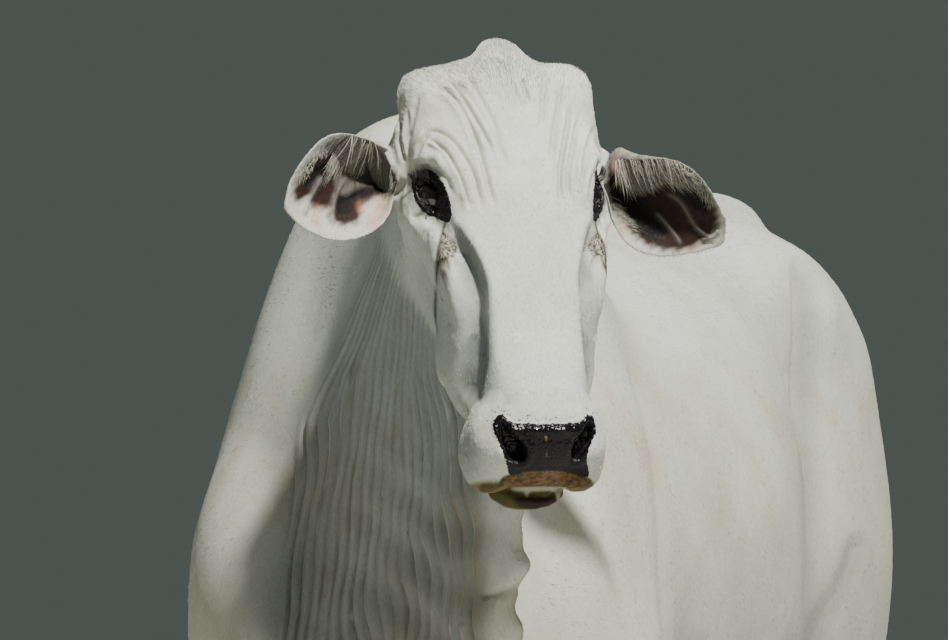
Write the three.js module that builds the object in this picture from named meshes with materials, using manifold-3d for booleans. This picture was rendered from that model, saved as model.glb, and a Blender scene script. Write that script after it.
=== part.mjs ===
// A Brahman cow standing still, life size, in millimetres: +Z up, she faces -Y, her left side is +X.
// The flesh is one smooth field of bones, muscles and folds, negative inside. Each part of the body is
// meshed from that field at its own fineness, cut free with planes, and parted by a thin gap.

import * as THREE from 'three';
import { mergeVertices } from 'three/addons/utils/BufferGeometryUtils.js';
import Module from 'manifold-3d';

const wasm = await Module();
wasm.setup();

// Driving dimensions
const GAP = 0.3;                    // clearance between touching parts
const COARSE = 1.3;                 // scales every mesh cell of the flesh
const BACK = 1322;                  // height of the back behind the hump
const HUMP = 1490;                  // height of the hump
const CROUP = 1362;                 // height of the croup
const BELLY = 592;                  // lowest line of the belly
const HEAD_AT = [227, -482, 1534];  // the poll, the crown of the head
const HEAD_TURN = 34.5;             // degrees that the face turns to her left
const HEAD_PITCH = 64;              // degrees that the face dips below level
const EYE_AT = [86, -147, -38];     // left eyeball's middle, in the head's frame
const EYE_RADIUS = 20;
const EAR_LENGTH = 165;
const EAR_THICK = 5;
const HOOF_HEIGHT = 78;
const STEP = { fore: [-34, 26], hind: [46, -30] };  // how far each left, right foot stands back

// Colours and finishes
const paint = (color, roughness) => new THREE.MeshStandardMaterial({ color, roughness, metalness: 0 });
const HIDE = paint(0xddd9cf, 0.85);
const DARK_SKIN = paint(0x2b2528, 0.35);
const EYE_GLOSS = paint(0x120c0a, 0.08);
const HOOF_HORN = paint(0x35302c, 0.5);
const SWITCH_HAIR = paint(0x2e2a28, 0.8);

// Field tools: a field is a function of x, y, z that gives a distance, negative inside

const clamp = (v, low, high) => Math.min(high, Math.max(low, v));

// The union of two fields with a fillet about k wide
const blend = (a, b, k) => {
  const h = Math.max(k - Math.abs(a - b), 0) / k;
  return Math.min(a, b) - h * h * k * 0.25;
};
const carve = (a, b, k) => -blend(-a, b, k);

// A smooth curve through rows of [place, value, value, ...]
function through(rows) {
  const last = rows.length - 1;
  const slope = rows.map((row, i) => {
    const a = rows[Math.max(i - 1, 0)];
    const b = rows[Math.min(i + 1, last)];
    return row.map((_, c) => (b[c] - a[c]) / (b[0] - a[0]));
  });
  return (place, out) => {
    let i = 0;
    while (i < last - 1 && place > rows[i + 1][0]) i += 1;
    const a = rows[i];
    const b = rows[i + 1];
    const step = b[0] - a[0];
    const t = clamp((place - a[0]) / step, 0, 1);
    const u = 1 - t;
    for (let c = 1; c < a.length; c += 1) {
      out[c] = u * u * (1 + 2 * t) * a[c] + t * t * (3 - 2 * t) * b[c]
        + t * u * step * (u * slope[i][c] - t * slope[i + 1][c]);
    }
  };
}

// One oval section: across from left to right, up from low to high, widest at level
function section(p, q, s, power) {
  const middle = (s[1] + s[2]) / 2;
  const half = (s[2] - s[1]) / 2;
  const reach = q > s[5] ? s[4] - s[5] : s[5] - s[3];
  const round = (Math.abs((p - middle) / half) ** power + Math.abs((q - s[5]) / reach) ** power) ** (1 / power);
  return (round - 1) * Math.min(half, reach);
}

// A body of sections along Y, rows [y, left, right, low, high, level], its ends rounded
function alongY(rows, { power = 2.2, round = 60 } = {}) {
  const at = through(rows);
  const first = rows[0][0];
  const last = rows[rows.length - 1][0];
  const s = [];
  return (x, y, z) => {
    at(clamp(y, first, last), s);
    return -blend(-section(x, z, s, power), -Math.max(first - y, y - last), round);
  };
}

// A limb of sections along Z, rows [z, inner, outer, front, back]
function alongZ(rows, { power = 2.1, round = 30 } = {}) {
  const at = through(rows.map((r) => [...r, (r[3] + r[4]) / 2]));
  const first = rows[0][0];
  const last = rows[rows.length - 1][0];
  const s = [];
  return (x, y, z) => {
    at(clamp(z, first, last), s);
    return -blend(-section(x, y, s, power), -Math.max(first - z, z - last), round);
  };
}

// A bent body whose sections stand across a curve, rows [share of the way, half width, up, down]
function alongCurve(a, b, c, rows, { power = 2.2, round = 50 } = {}) {
  const at = through(rows.map((r) => [r[0], -r[1], r[1], -r[3], r[2], 0]));
  const curve = new THREE.QuadraticBezierCurve3(...[a, b, c].map((p) => new THREE.Vector3(...p)));
  const length = curve.getLength();
  const spine = [];
  const steps = 24;
  for (let i = 0; i <= steps; i += 1) {
    const middle = curve.getPoint(i / steps);
    const along = curve.getTangent(i / steps);
    const side = new THREE.Vector3(-along.y, along.x, 0).normalize();
    const up = new THREE.Vector3().crossVectors(side, along).negate();
    spine.push({ middle, along, side, up });
  }
  const s = [];
  return (x, y, z) => {
    const ahead = (k) => (x - k.middle.x) * k.along.x + (y - k.middle.y) * k.along.y + (z - k.middle.z) * k.along.z;
    let i = 0;
    while (i < steps - 1 && ahead(spine[i + 1]) > 0) i += 1;
    const k0 = spine[i];
    const k1 = spine[i + 1];
    const d0 = ahead(k0);
    const d1 = ahead(k1);
    const f = clamp(d0 / (d0 - d1), 0, 1);
    const local = (axis) => {
      const p0 = (x - k0.middle.x) * k0[axis].x + (y - k0.middle.y) * k0[axis].y + (z - k0.middle.z) * k0[axis].z;
      const p1 = (x - k1.middle.x) * k1[axis].x + (y - k1.middle.y) * k1[axis].y + (z - k1.middle.z) * k1[axis].z;
      return p0 + (p1 - p0) * f;
    };
    at((i + f) / steps, s);
    const past = Math.max(-d0 * (i === 0 ? 1 : 0) || -length, i === steps - 1 ? d1 : -length);
    return -blend(-section(local('side'), local('up'), s, power), -past, round);
  };
}

// An egg-shaped muscle or fat pad; pitch, yaw and roll in degrees turn it about X, Z and Y
function muscle(at, size, { pitch = 0, yaw = 0, roll = 0 } = {}) {
  const turn = new THREE.Matrix4().makeRotationFromEuler(
    new THREE.Euler(pitch * Math.PI / 180, roll * Math.PI / 180, yaw * Math.PI / 180, 'ZXY'),
  ).transpose().elements;
  const [a, b, c] = size;
  return (x, y, z) => {
    const dx = x - at[0];
    const dy = y - at[1];
    const dz = z - at[2];
    const p = (turn[0] * dx + turn[4] * dy + turn[8] * dz) / a;
    const q = (turn[1] * dx + turn[5] * dy + turn[9] * dz) / b;
    const r = (turn[2] * dx + turn[6] * dy + turn[10] * dz) / c;
    const k0 = Math.sqrt(p * p + q * q + r * r);
    const k1 = Math.sqrt((p / a) ** 2 + (q / b) ** 2 + (r / c) ** 2);
    return k1 < 1e-9 ? -Math.min(a, b, c) : k0 * (k0 - 1) / k1;
  };
}

// A bone: a rod from a to b that tapers from one radius to the other
function bone(a, b, ra, rb) {
  const d = [b[0] - a[0], b[1] - a[1], b[2] - a[2]];
  const dd = d[0] ** 2 + d[1] ** 2 + d[2] ** 2;
  return (x, y, z) => {
    const t = clamp(((x - a[0]) * d[0] + (y - a[1]) * d[1] + (z - a[2]) * d[2]) / dd, 0, 1);
    return Math.hypot(x - a[0] - d[0] * t, y - a[1] - d[1] * t, z - a[2] - d[2] * t) - ra + (ra - rb) * t;
  };
}

// Joins shapes one after another, each [field, fillet]
function grown(parts) {
  return (x, y, z) => {
    let d = parts[0][0](x, y, z);
    for (let i = 1; i < parts.length; i += 1) d = blend(d, parts[i][0](x, y, z), parts[i][1]);
    return d;
  };
}
const bothSides = (field) => (x, y, z) => field(Math.abs(x), y, z);

// Trunk: the barrel, shoulders, hips and rump, the same on both sides

const barrel = alongY([
  [-300, -98, 98, 745, 1085, 905],
  [-220, -150, 150, 700, 1190, 900],
  [-100, -195, 195, 672, 1285, 920],
  [30, -222, 222, 655, BACK - 6, 940],
  [180, -255, 255, 640, BACK - 4, 950],
  [330, -285, 285, 612, BACK - 3, 940],
  [430, -296, 296, BELLY + 4, BACK, 930],
  [520, -290, 290, BELLY, BACK + 3, 930],
  [620, -266, 266, BELLY + 4, BACK + 8, 940],
  [720, -236, 236, 622, BACK + 20, 975],
  [820, -206, 206, 672, CROUP - 8, 1000],
  [920, -190, 190, 735, CROUP, 1020],
  [1010, -178, 178, 800, CROUP - 4, 1030],
  [1100, -158, 158, 868, CROUP - 24, 1045],
  [1190, -122, 122, 940, CROUP - 86, 1070],
], { power: 2.15, round: 110 });

const trunk = grown([
  [bothSides(barrel), 0],
  [muscle([0, 10, HUMP - 130], [134, 205, 130], { pitch: -6 }), 80],
  [bothSides(muscle([134, -40, 1200], [66, 130, 190], { pitch: -20, roll: -14 })), 90],
  [bothSides(muscle([186, -10, 935], [70, 150, 190], { roll: -4 })), 90],
  [bothSides(muscle([162, -180, 925], [76, 88, 120])), 90],
  [bothSides(muscle([72, -262, 815], [82, 92, 122])), 80],
  [bothSides(muscle([150, 895, 1245], [46, 76, 44])), 100],
  [bothSides(muscle([132, 1030, 1130], [92, 170, 130])), 90],
  [bothSides(muscle([88, 1206, 1180], [38, 46, 44])), 70],
  [muscle([0, 1120, 1322], [50, 120, 30]), 60],
  [bone([0, 1130, 1312], [0, 1264, 1264], 42, 34), 50],
  [bone([0, 1264, 1264], [0, 1304, 1228], 34, 28), 30],
  [muscle([0, 560, BELLY + 8], [14, 120, 40]), 50],
]);

// Legs, by their outlines from the front and the side: rows [height, inner, outer, front, back]

const foreleg = alongZ([
  [20, 104, 192, -142, -26],
  [78, 105, 191, -128, -30],
  [100, 110, 187, -118, -34],
  [122, 116, 181, -110, -34],
  [148, 111, 186, -100, -14],
  [178, 111, 186, -94, -8],
  [215, 119, 178, -82, -18],
  [290, 121, 176, -78, -22],
  [360, 119, 178, -82, -18],
  [395, 111, 187, -96, -8],
  [430, 107, 191, -104, -2],
  [472, 109, 190, -100, 0],
  [530, 113, 194, -102, 0],
  [610, 110, 206, -122, 16],
  [700, 102, 230, -150, 44],
  [780, 96, 255, -172, 70],
  [860, 95, 262, -185, 80],
]);

const hindleg = alongZ([
  [20, 104, 192, 1014, 1132],
  [78, 105, 191, 1030, 1130],
  [100, 110, 187, 1044, 1130],
  [122, 117, 182, 1060, 1138],
  [150, 114, 187, 1080, 1166],
  [180, 115, 187, 1092, 1168],
  [225, 123, 180, 1104, 1160],
  [330, 125, 179, 1118, 1172],
  [430, 124, 181, 1130, 1186],
  [500, 119, 185, 1134, 1208],
  [545, 116, 190, 1112, 1232],
  [590, 118, 190, 1074, 1242],
  [640, 114, 200, 1010, 1222],
  [710, 102, 220, 905, 1214],
  [800, 78, 240, 805, 1232],
  [900, 48, 250, 782, 1246],
  [1020, 28, 236, 822, 1244],
  [1130, 25, 196, 880, 1200],
], { round: 110 });

// Each leg swings a little forward or back from the elbow or the stifle down
const swing = (steps, x, z) => (x > 0 ? steps[0] : steps[1]) * clamp((690 - z) / 600, 0, 1);
const legs = (x, y, z) => Math.min(
  foreleg(Math.abs(x), y - swing(STEP.fore, x, z), z),
  hindleg(Math.abs(x), y - swing(STEP.hind, x, z), z),
);

const udder = grown([
  [muscle([0, 905, 735], [112, 150, 92], { pitch: -12 }), 0],
  [bothSides(bone([58, 840, 690], [64, 830, 612], 17, 11)), 22],
  [bothSides(bone([52, 965, 690], [58, 968, 618], 17, 11)), 22],
]);

// Neck, from between the shoulders up and round to her left

const neckRoot = [0, -30, 1090];
const neckBend = [30, -250, 1190];
const neckTop = [188, -392, 1440];
const neck = alongCurve(neckRoot, neckBend, neckTop, [
  [0, 135, 225, 255],
  [0.35, 112, 190, 235],
  [0.7, 90, 142, 160],
  [1, 80, 98, 120],
], { power: 2.1, round: 60 });

// The dewlap: one hanging fold from the chin down the throat to the brisket, rows
// [y, middle, half width at the edge, half width at the top, low, high]
const dewlapAt = through([
  [-512, 239, 20, 27, 930, 1150],
  [-484, 229, 24, 31, 872, 1220],
  [-440, 197, 28, 38, 820, 1262],
  [-390, 156, 29, 42, 780, 1240],
  [-340, 111, 29, 44, 742, 1180],
  [-270, 55, 27, 46, 700, 1070],
  [-190, 7, 24, 44, 663, 950],
  [-100, 0, 22, 40, 632, 850],
  [20, 0, 18, 28, 622, 780],
  [120, 0, 14, 18, 632, 740],
]);
function dewlap(x, y, z) {
  const s = [];
  dewlapAt(clamp(y, -512, 120), s);
  const [, middle, edge, top, low, high] = s;
  const half = edge + (top - edge) * clamp((z - low) / (high - low), 0, 1);
  const d = Math.hypot(x - middle, Math.max(low + edge - z, z - high + top, 0)) - half;
  return -blend(-d, -Math.max(-512 - y, y - 120), 26);
}

// Head, in a frame of its own: the poll at the origin, the face along -Y, its front up +Z

const skull = alongY([
  [-290, -78, 78, -118, -2, -56],
  [-235, -90, 90, -130, 4, -52],
  [-190, -98, 98, -145, 7, -48],
  [-140, -104, 104, -160, 8, -46],
  [-80, -102, 102, -165, 6, -50],
  [-30, -96, 96, -155, 0, -55],
  [8, -84, 84, -140, -14, -60],
], { power: 3, round: 34 });

const face = alongY([
  [-448, -54, 54, -100, -36, -66],
  [-414, -60, 60, -112, -18, -68],
  [-375, -66, 66, -124, -8, -72],
  [-324, -77, 77, -134, -4, -78],
  [-287, -88, 88, -142, -2, -80],
  [-226, -97, 97, -150, -1, -76],
  [-150, -97, 97, -155, -8, -70],
  [-70, -80, 80, -140, -40, -70],
], { power: 2.5, round: 30 });

const nosebridge = alongY([
  [-428, -40, 40, -60, -16, -42],
  [-385, -44, 44, -60, -1, -34],
  [-320, -47, 47, -60, 4, -30],
  [-240, -52, 52, -60, 8, -30],
  [-170, -60, 60, -60, 8, -30],
  [-90, -60, 60, -60, -16, -40],
], { power: 2.6, round: 20 });

const jaw = alongY([
  [-470, -38, 38, -134, -104, -119],
  [-425, -46, 46, -148, -90, -120],
  [-370, -56, 56, -162, -80, -120],
  [-295, -66, 66, -184, -70, -122],
  [-220, -69, 69, -212, -60, -130],
  [-150, -72, 72, -228, -50, -135],
  [-90, -66, 66, -205, -50, -125],
], { power: 2.2, round: 34 });

const upperHead = grown([
  [skull, 0],
  [face, 36],
  [nosebridge, 14],
  [muscle([58, -175, -140], [32, 82, 70]), 40],
  [muscle([84, -134, -12], [28, 42, 18], { yaw: 4, roll: 30 }), 20],
  [muscle([96, -158, -68], [18, 42, 20]), 24],
  [muscle([90, -192, -74], [20, 42, 24]), 30],
  [muscle([78, -21, -34], [24, 26, 26]), 40],
  [muscle([2, 0, -20], [33, 35, 32]), 34],
  [bone([84, -88, -60], [118, -97, -64], 34, 29), 26],
  [muscle([60, -305, -98], [22, 66, 40]), 30],
  [muscle([48, -428, -60], [30, 38, 36]), 20],
  [muscle([0, -434, -52], [50, 34, 38]), 18],
  [muscle([0, -436, -88], [54, 36, 26]), 18],
  [muscle([53, -440, -86], [28, 40, 26], { yaw: -6 }), 16],
]);
const lowerHead = grown([
  [jaw, 0],
  [muscle([0, -462, -121], [44, 24, 17]), 16],
]);

// Each eyeball faces out, a little forward. Its lids swell over it, in a shallow bowl of the face.
const eyeWay = new THREE.Vector3(0.73, -0.12, 0.67).normalize();
const eyeBowl = muscle(
  EYE_AT.map((v, a) => v + 42 * eyeWay.getComponent(a)), [30, 40, 27], { roll: -42, yaw: -9 },
);
const lidSwell = muscle(EYE_AT, [24, 25, 24]);

const upperField = (x, y, z) => {
  const ax = Math.abs(x);
  // Below the eye the cheek narrows toward its back
  const from = 52 - 26 * clamp((-y - 160) / 45, 0, 1);
  const narrow = 31 * clamp((-z - from) / 70, 0, 1) * clamp((-y - 136) / 40, 0, 1) * clamp((y + 318) / 70, 0, 1);
  let d = upperHead(ax + narrow, y, z);
  d = carve(d, muscle([134, -104, -34], [26, 34, 30])(ax, y, z), 24);
  d = blend(carve(d, eyeBowl(ax, y, z), 16), lidSwell(ax, y, z), 10);
  return d;
};
const lowerField = bothSides(lowerHead);
const headField = (x, y, z) => blend(upperField(x, y, z), lowerField(x, y, z), 24);

const head = new THREE.Group();
head.rotation.set(HEAD_PITCH * Math.PI / 180, 0, HEAD_TURN * Math.PI / 180, 'ZXY');
head.position.set(...HEAD_AT);
head.updateMatrixWorld(true);
const toHead = head.matrixWorld.clone().invert().elements;

// The cow without her head, and the whole cow
function headless(x, y, z) {
  let d = blend(trunk(x, y, z), legs(x, y, z), 64);
  d = blend(d, udder(x, y, z), 30);
  d = blend(d, neck(x, y, z), 90);
  return blend(d, dewlap(x, y, z), 46);
}
function cow(x, y, z) {
  let d = headless(x, y, z);
  if (z > 880 && y < -120) {
    const e = toHead;
    const hx = e[0] * x + e[4] * y + e[8] * z + e[12];
    const hy = e[1] * x + e[5] * y + e[9] * z + e[13];
    const hz = e[2] * x + e[6] * y + e[10] * z + e[14];
    d = blend(d, headField(hx, hy, hz), 34);
  }
  return d;
}
// A field of the body as seen from another frame
const seenFrom = (frame, field) => (x, y, z) => {
  const e = frame.elements;
  return field(
    e[0] * x + e[4] * y + e[8] * z + e[12],
    e[1] * x + e[5] * y + e[9] * z + e[13],
    e[2] * x + e[6] * y + e[10] * z + e[14],
  );
};

// Meshing

function solid(geometry) {
  const bare = geometry.clone();
  for (const name of Object.keys(bare.attributes)) if (name !== 'position') bare.deleteAttribute(name);
  const merged = mergeVertices(bare, 1e-3);
  return new wasm.Manifold(new wasm.Mesh({
    numProp: 3,
    vertProperties: merged.attributes.position.array,
    triVerts: new Uint32Array(merged.index.array),
  }));
}

function geometryOf(made) {
  const mesh = made.getMesh();
  return new THREE.BufferGeometry()
    .setAttribute('position', new THREE.BufferAttribute(mesh.vertProperties, 3))
    .setIndex(new THREE.BufferAttribute(mesh.triVerts, 1));
}

// The surface of a field inside a box of cells: one point for each sheet that crosses a cell, moved onto
// the surface, and one four-sided face for each cell edge that the surface crosses
const corners = [0, 1, 2, 3, 4, 5, 6, 7].map((c) => [c & 1, (c >> 1) & 1, c >> 2]);
const cellEdges = corners.flatMap((_, p) => [1, 2, 4].filter((bit) => !(p & bit)).map((bit) => [p, p | bit]));

// Marks the corners of a cell that hold together on the same side of the surface
function sameSide(v) {
  const label = [0, 1, 2, 3, 4, 5, 6, 7];
  for (let changed = true; changed;) {
    changed = false;
    for (const [p, q] of cellEdges) {
      if (v[p] < 0 === v[q] < 0 && label[p] !== label[q]) {
        label[p] = label[q] = Math.min(label[p], label[q]);
        changed = true;
      }
    }
  }
  return label;
}

function surface(field, lines) {
  const n = lines.map((l) => l.length);
  const step = [1, n[0], n[0] * n[1]];
  const value = new Float32Array(n[0] * n[1] * n[2]);
  const eachSpot = (first, short, visit) => {
    for (let k = first; k < n[2] - short; k += 1) {
      for (let j = first; j < n[1] - short; j += 1) {
        for (let i = first; i < n[0] - short; i += 1) visit(i * step[0] + j * step[1] + k * step[2], [i, j, k]);
      }
    }
  };
  eachSpot(0, 0, (spot, at) => {
    const rim = at.some((m, a) => m === 0 || m === n[a] - 1);
    const d = field(...at.map((m, a) => lines[a][m]));
    value[spot] = rim ? Math.max(d, 2) : d;
  });
  // No two sheets may touch across a cell face: a thread of flesh there is let go
  for (let changed = true; changed;) {
    changed = false;
    eachSpot(0, 1, (spot) => {
      for (const [a, b] of [[0, 1], [1, 2], [0, 2]]) {
        const ring = [spot, spot + step[a], spot + step[a] + step[b], spot + step[b]];
        const v = ring.map((m) => value[m] < 0);
        if (v[0] !== v[2] || v[1] !== v[3] || v[0] === v[1]) continue;
        const flesh = ring.filter((m) => value[m] < 0).sort((p, q) => value[q] - value[p]);
        value[flesh[0]] = 1e-3;
        changed = true;
      }
    });
  }
  const slope = (p) => [0, 1, 2].map((a) => {
    const e = [0, 0, 0];
    e[a] = 0.5;
    return field(p[0] + e[0], p[1] + e[1], p[2] + e[2]) - field(p[0] - e[0], p[1] - e[1], p[2] - e[2]);
  });
  const points = [];
  const cells = new Map();
  eachSpot(0, 1, (spot, at) => {
    const v = corners.map((c) => value[spot + c[0] + c[1] * step[1] + c[2] * step[2]]);
    if (v.every((d) => d < 0) || v.every((d) => d >= 0)) return;
    const label = sameSide(v);
    const sheets = new Map();
    for (const [p, q] of cellEdges) {
      if (v[p] < 0 === v[q] < 0) continue;
      const key = v[p] < 0 ? label[p] * 8 + label[q] : label[q] * 8 + label[p];
      if (!sheets.has(key)) sheets.set(key, [0, 0, 0, 0]);
      const sum = sheets.get(key);
      const t = v[p] / (v[p] - v[q]);
      for (let a = 0; a < 3; a += 1) sum[a] += corners[p][a] + (corners[q][a] - corners[p][a]) * t;
      sum[3] += 1;
    }
    const vertexOf = new Map();
    for (const [key, sum] of sheets) {
      const cell = at.map((m, a) => lines[a][m + 1] - lines[a][m]);
      const start = at.map((m, a) => lines[a][m] + sum[a] / sum[3] * cell[a]);
      let p = start;
      for (let turn = at.every((m, a) => m > 0 && m < n[a] - 2) ? 0 : 4; turn < 4; turn += 1) {
        const g = slope(p);
        const d = field(...p) / Math.max(g[0] ** 2 + g[1] ** 2 + g[2] ** 2, 0.2);
        p = p.map((c, a) => clamp(c - d * g[a], start[a] - 0.5 * cell[a], start[a] + 0.5 * cell[a]));
      }
      vertexOf.set(key, points.length / 3);
      points.push(...p);
    }
    cells.set(spot, { label, vertexOf });
  });
  const faces = [];
  const span = (a, b) => Math.hypot(...[0, 1, 2].map((c) => points[3 * a + c] - points[3 * b + c]));
  eachSpot(0, 1, (spot) => {
    for (let a = 0; a < 3; a += 1) {
      const here = value[spot] < 0;
      if (here === value[spot + step[a]] < 0) continue;
      const b = (a + 1) % 3;
      const c = (a + 2) % 3;
      const ring = [[0, 0], [1, 0], [1, 1], [0, 1]].map(([u, w]) => {
        const { label, vertexOf } = cells.get(spot - u * step[b] - w * step[c]);
        const near = (u << b) | (w << c);
        const far = near | (1 << a);
        return vertexOf.get(here ? label[near] * 8 + label[far] : label[far] * 8 + label[near]);
      });
      if (!here) ring.reverse();
      const [p, q, r, s] = ring;
      if (span(p, r) <= span(q, s)) faces.push(p, q, r, p, r, s);
      else faces.push(q, r, s, q, s, p);
    }
  });
  return new wasm.Manifold(new wasm.Mesh({
    numProp: 3,
    vertProperties: new Float32Array(points),
    triVerts: new Uint32Array(faces),
  }));
}

// Grid lines from one mark to the next: [mark, cell, mark, cell, ..., mark]
function ruled(...marks) {
  const lines = [marks[0]];
  for (let m = 0; m + 2 < marks.length; m += 2) {
    const [from, cell, to] = marks.slice(m, m + 3);
    const steps = Math.max(1, Math.round((to - from) / (cell * COARSE)));
    for (let i = 1; i <= steps; i += 1) lines.push(from + (to - from) * i / steps);
  }
  return lines;
}
const largest = (made) => made.decompose().reduce((a, b) => (a.volume() > b.volume() ? a : b));

// A block between two corners
function block(low, high) {
  const size = low.map((v, a) => high[a] - v);
  return solid(new THREE.BoxGeometry(...size).translate(...low.map((v, a) => v + size[a] / 2)));
}

// A cut is a plane: a point on it and the way it faces. trim keeps the flesh ahead (1) or behind (-1)
// each cut, half a gap back from it.
function cut(point, way) {
  const n = new THREE.Vector3(...way).normalize();
  return { n: n.toArray(), at: n.dot(new THREE.Vector3(...point)) };
}
const trim = (made, ...sides) => sides.reduce(
  (m, [c, side]) => m.trimByPlane(c.n.map((v) => v * side), c.at * side + GAP / 2), made,
);

const root = new THREE.Group();
const body = new THREE.Group();
root.add(body);
body.add(head);
function part(name, made, material, group = body) {
  const mesh = new THREE.Mesh(made.isBufferGeometry ? made : geometryOf(largest(made)), material);
  mesh.name = name;
  group.add(mesh);
}

// Closed skin over rings of points, with a flat cap at each end
function skin(rings) {
  const points = rings.flat();
  const count = rings[0].length;
  const faces = [];
  const middle = (ring) => [0, 1, 2].map((a) => ring.reduce((sum, p) => sum + p[a], 0) / count);
  for (let r = 0; r + 1 < rings.length; r += 1) {
    for (let i = 0; i < count; i += 1) {
      const j = (i + 1) % count;
      const [a, b, c, d] = [r * count + i, r * count + j, (r + 1) * count + j, (r + 1) * count + i];
      faces.push(a, b, c, a, c, d);
    }
  }
  [[0, 1], [rings.length - 1, 0]].forEach(([r, turned]) => {
    const hub = points.length;
    points.push(middle(rings[r]));
    for (let i = 0; i < count; i += 1) {
      const j = (i + 1) % count;
      faces.push(hub, r * count + (turned ? j : i), r * count + (turned ? i : j));
    }
  });
  return new THREE.BufferGeometry()
    .setAttribute('position', new THREE.Float32BufferAttribute(points.flat(), 3))
    .setIndex(faces);
}

// Rings about a curve: across and deep give the half sizes at each share of the way
function along(points, across, deep, { steps = 12, sides = 10, lean = new THREE.Vector3(1, 0, 0) } = {}) {
  const curve = new THREE.CatmullRomCurve3(points.map((p) => new THREE.Vector3(...p)));
  const rings = [];
  for (let r = 0; r <= steps; r += 1) {
    const t = r / steps;
    const ahead = curve.getTangentAt(t);
    const side = lean.clone().addScaledVector(ahead, -lean.dot(ahead)).normalize();
    const up = new THREE.Vector3().crossVectors(ahead, side);
    const at = curve.getPointAt(t);
    rings.push(Array.from({ length: sides }, (_, i) => {
      const turn = 2 * Math.PI * (i + 0.5) / sides;
      return at.clone().addScaledVector(side, across(t) * Math.cos(turn))
        .addScaledVector(up, deep(t) * Math.sin(turn)).toArray();
    }));
  }
  return skin(rings);
}

// Trunk

const neckCut = cut([0, -245, 1080], [0.15, -0.97, 0.17]);
const humpCut = cut([0, 0, 1352], [0, 0.05, 1]);
const ribCut = cut([0, 234, 0], [0, 1, 0]);
const flankCut = cut([0, 770, 0], [0, 1, 0]);

const foreBox = (grow) => block([88 - grow, -340, 0], [330, 150, 690 + grow]);
const hindBox = (grow) => block([98 - grow, 840 - grow, 0], [330, 1360, 700 + grow]);
const mirrored = (made) => made.add(made.mirror([1, 0, 0]));
const offForelegs = mirrored(foreBox(GAP / 2));
const offHindlegs = mirrored(hindBox(GAP / 2));

const trunkFlesh = surface(cow, [
  ruled(-352, 50, 352), ruled(-430, 47, 230, 60, 770, 43, 1368), ruled(520, 49, 1520),
]);
const dockBox = (grow) => block([-64 - grow, 1160 - grow, 1150 - grow], [64 + grow, 1400, 1400]);
part('hump', trim(trunkFlesh, [neckCut, -1], [humpCut, 1], [ribCut, -1]), HIDE);
part('chest', trim(trunkFlesh, [neckCut, -1], [humpCut, -1], [ribCut, -1]).subtract(offForelegs), HIDE);
part('barrel', trim(trunkFlesh, [ribCut, 1], [flankCut, -1]), HIDE);
part('rump', trim(trunkFlesh, [flankCut, 1]).subtract(offHindlegs).subtract(dockBox(GAP / 2)), HIDE);

// Neck and dewlap: what is left in front of the chest once the head is taken off

const headBack = cut([0, 28, -30], [0, 0.894, -0.447]);
const jawUnder = cut([0, -160, -242], [0, -0.289, -0.958]);
const headSpace = (grow) => block([-260, -700, -400], [260, 300, 200])
  .trimByPlane(headBack.n.map((v) => -v), -headBack.at - grow)
  .trimByPlane(jawUnder.n.map((v) => -v), -jawUnder.at - grow);
const offHead = headSpace(GAP / 2).transform(head.matrixWorld.elements);
const dewlapCut = cut([0, -520, 1110], [0, -0.742, -0.67]);

part('neck', trim(
  surface(cow, [ruled(-250, 27, 60, 25, 400), ruled(-590, 25, -110), ruled(700, 31, 1100, 26, 1570)]),
  [neckCut, 1], [dewlapCut, -1],
).subtract(offHead), HIDE);
// The dewlap is meshed in a frame tipped along its edge: Y runs down the edge, -Z out of it
const dewlapFrame = new THREE.Matrix4().makeRotationX(-Math.PI / 4.1).setPosition(0, -520, 1110);
part('dewlap', trim(
  surface(seenFrom(dewlapFrame, cow), [ruled(-130, 13, 320), ruled(-170, 25, 640), ruled(-190, 17, 40)])
    .transform(dewlapFrame.elements),
  [neckCut, 1], [dewlapCut, 1],
).subtract(offHead), HIDE);

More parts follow.
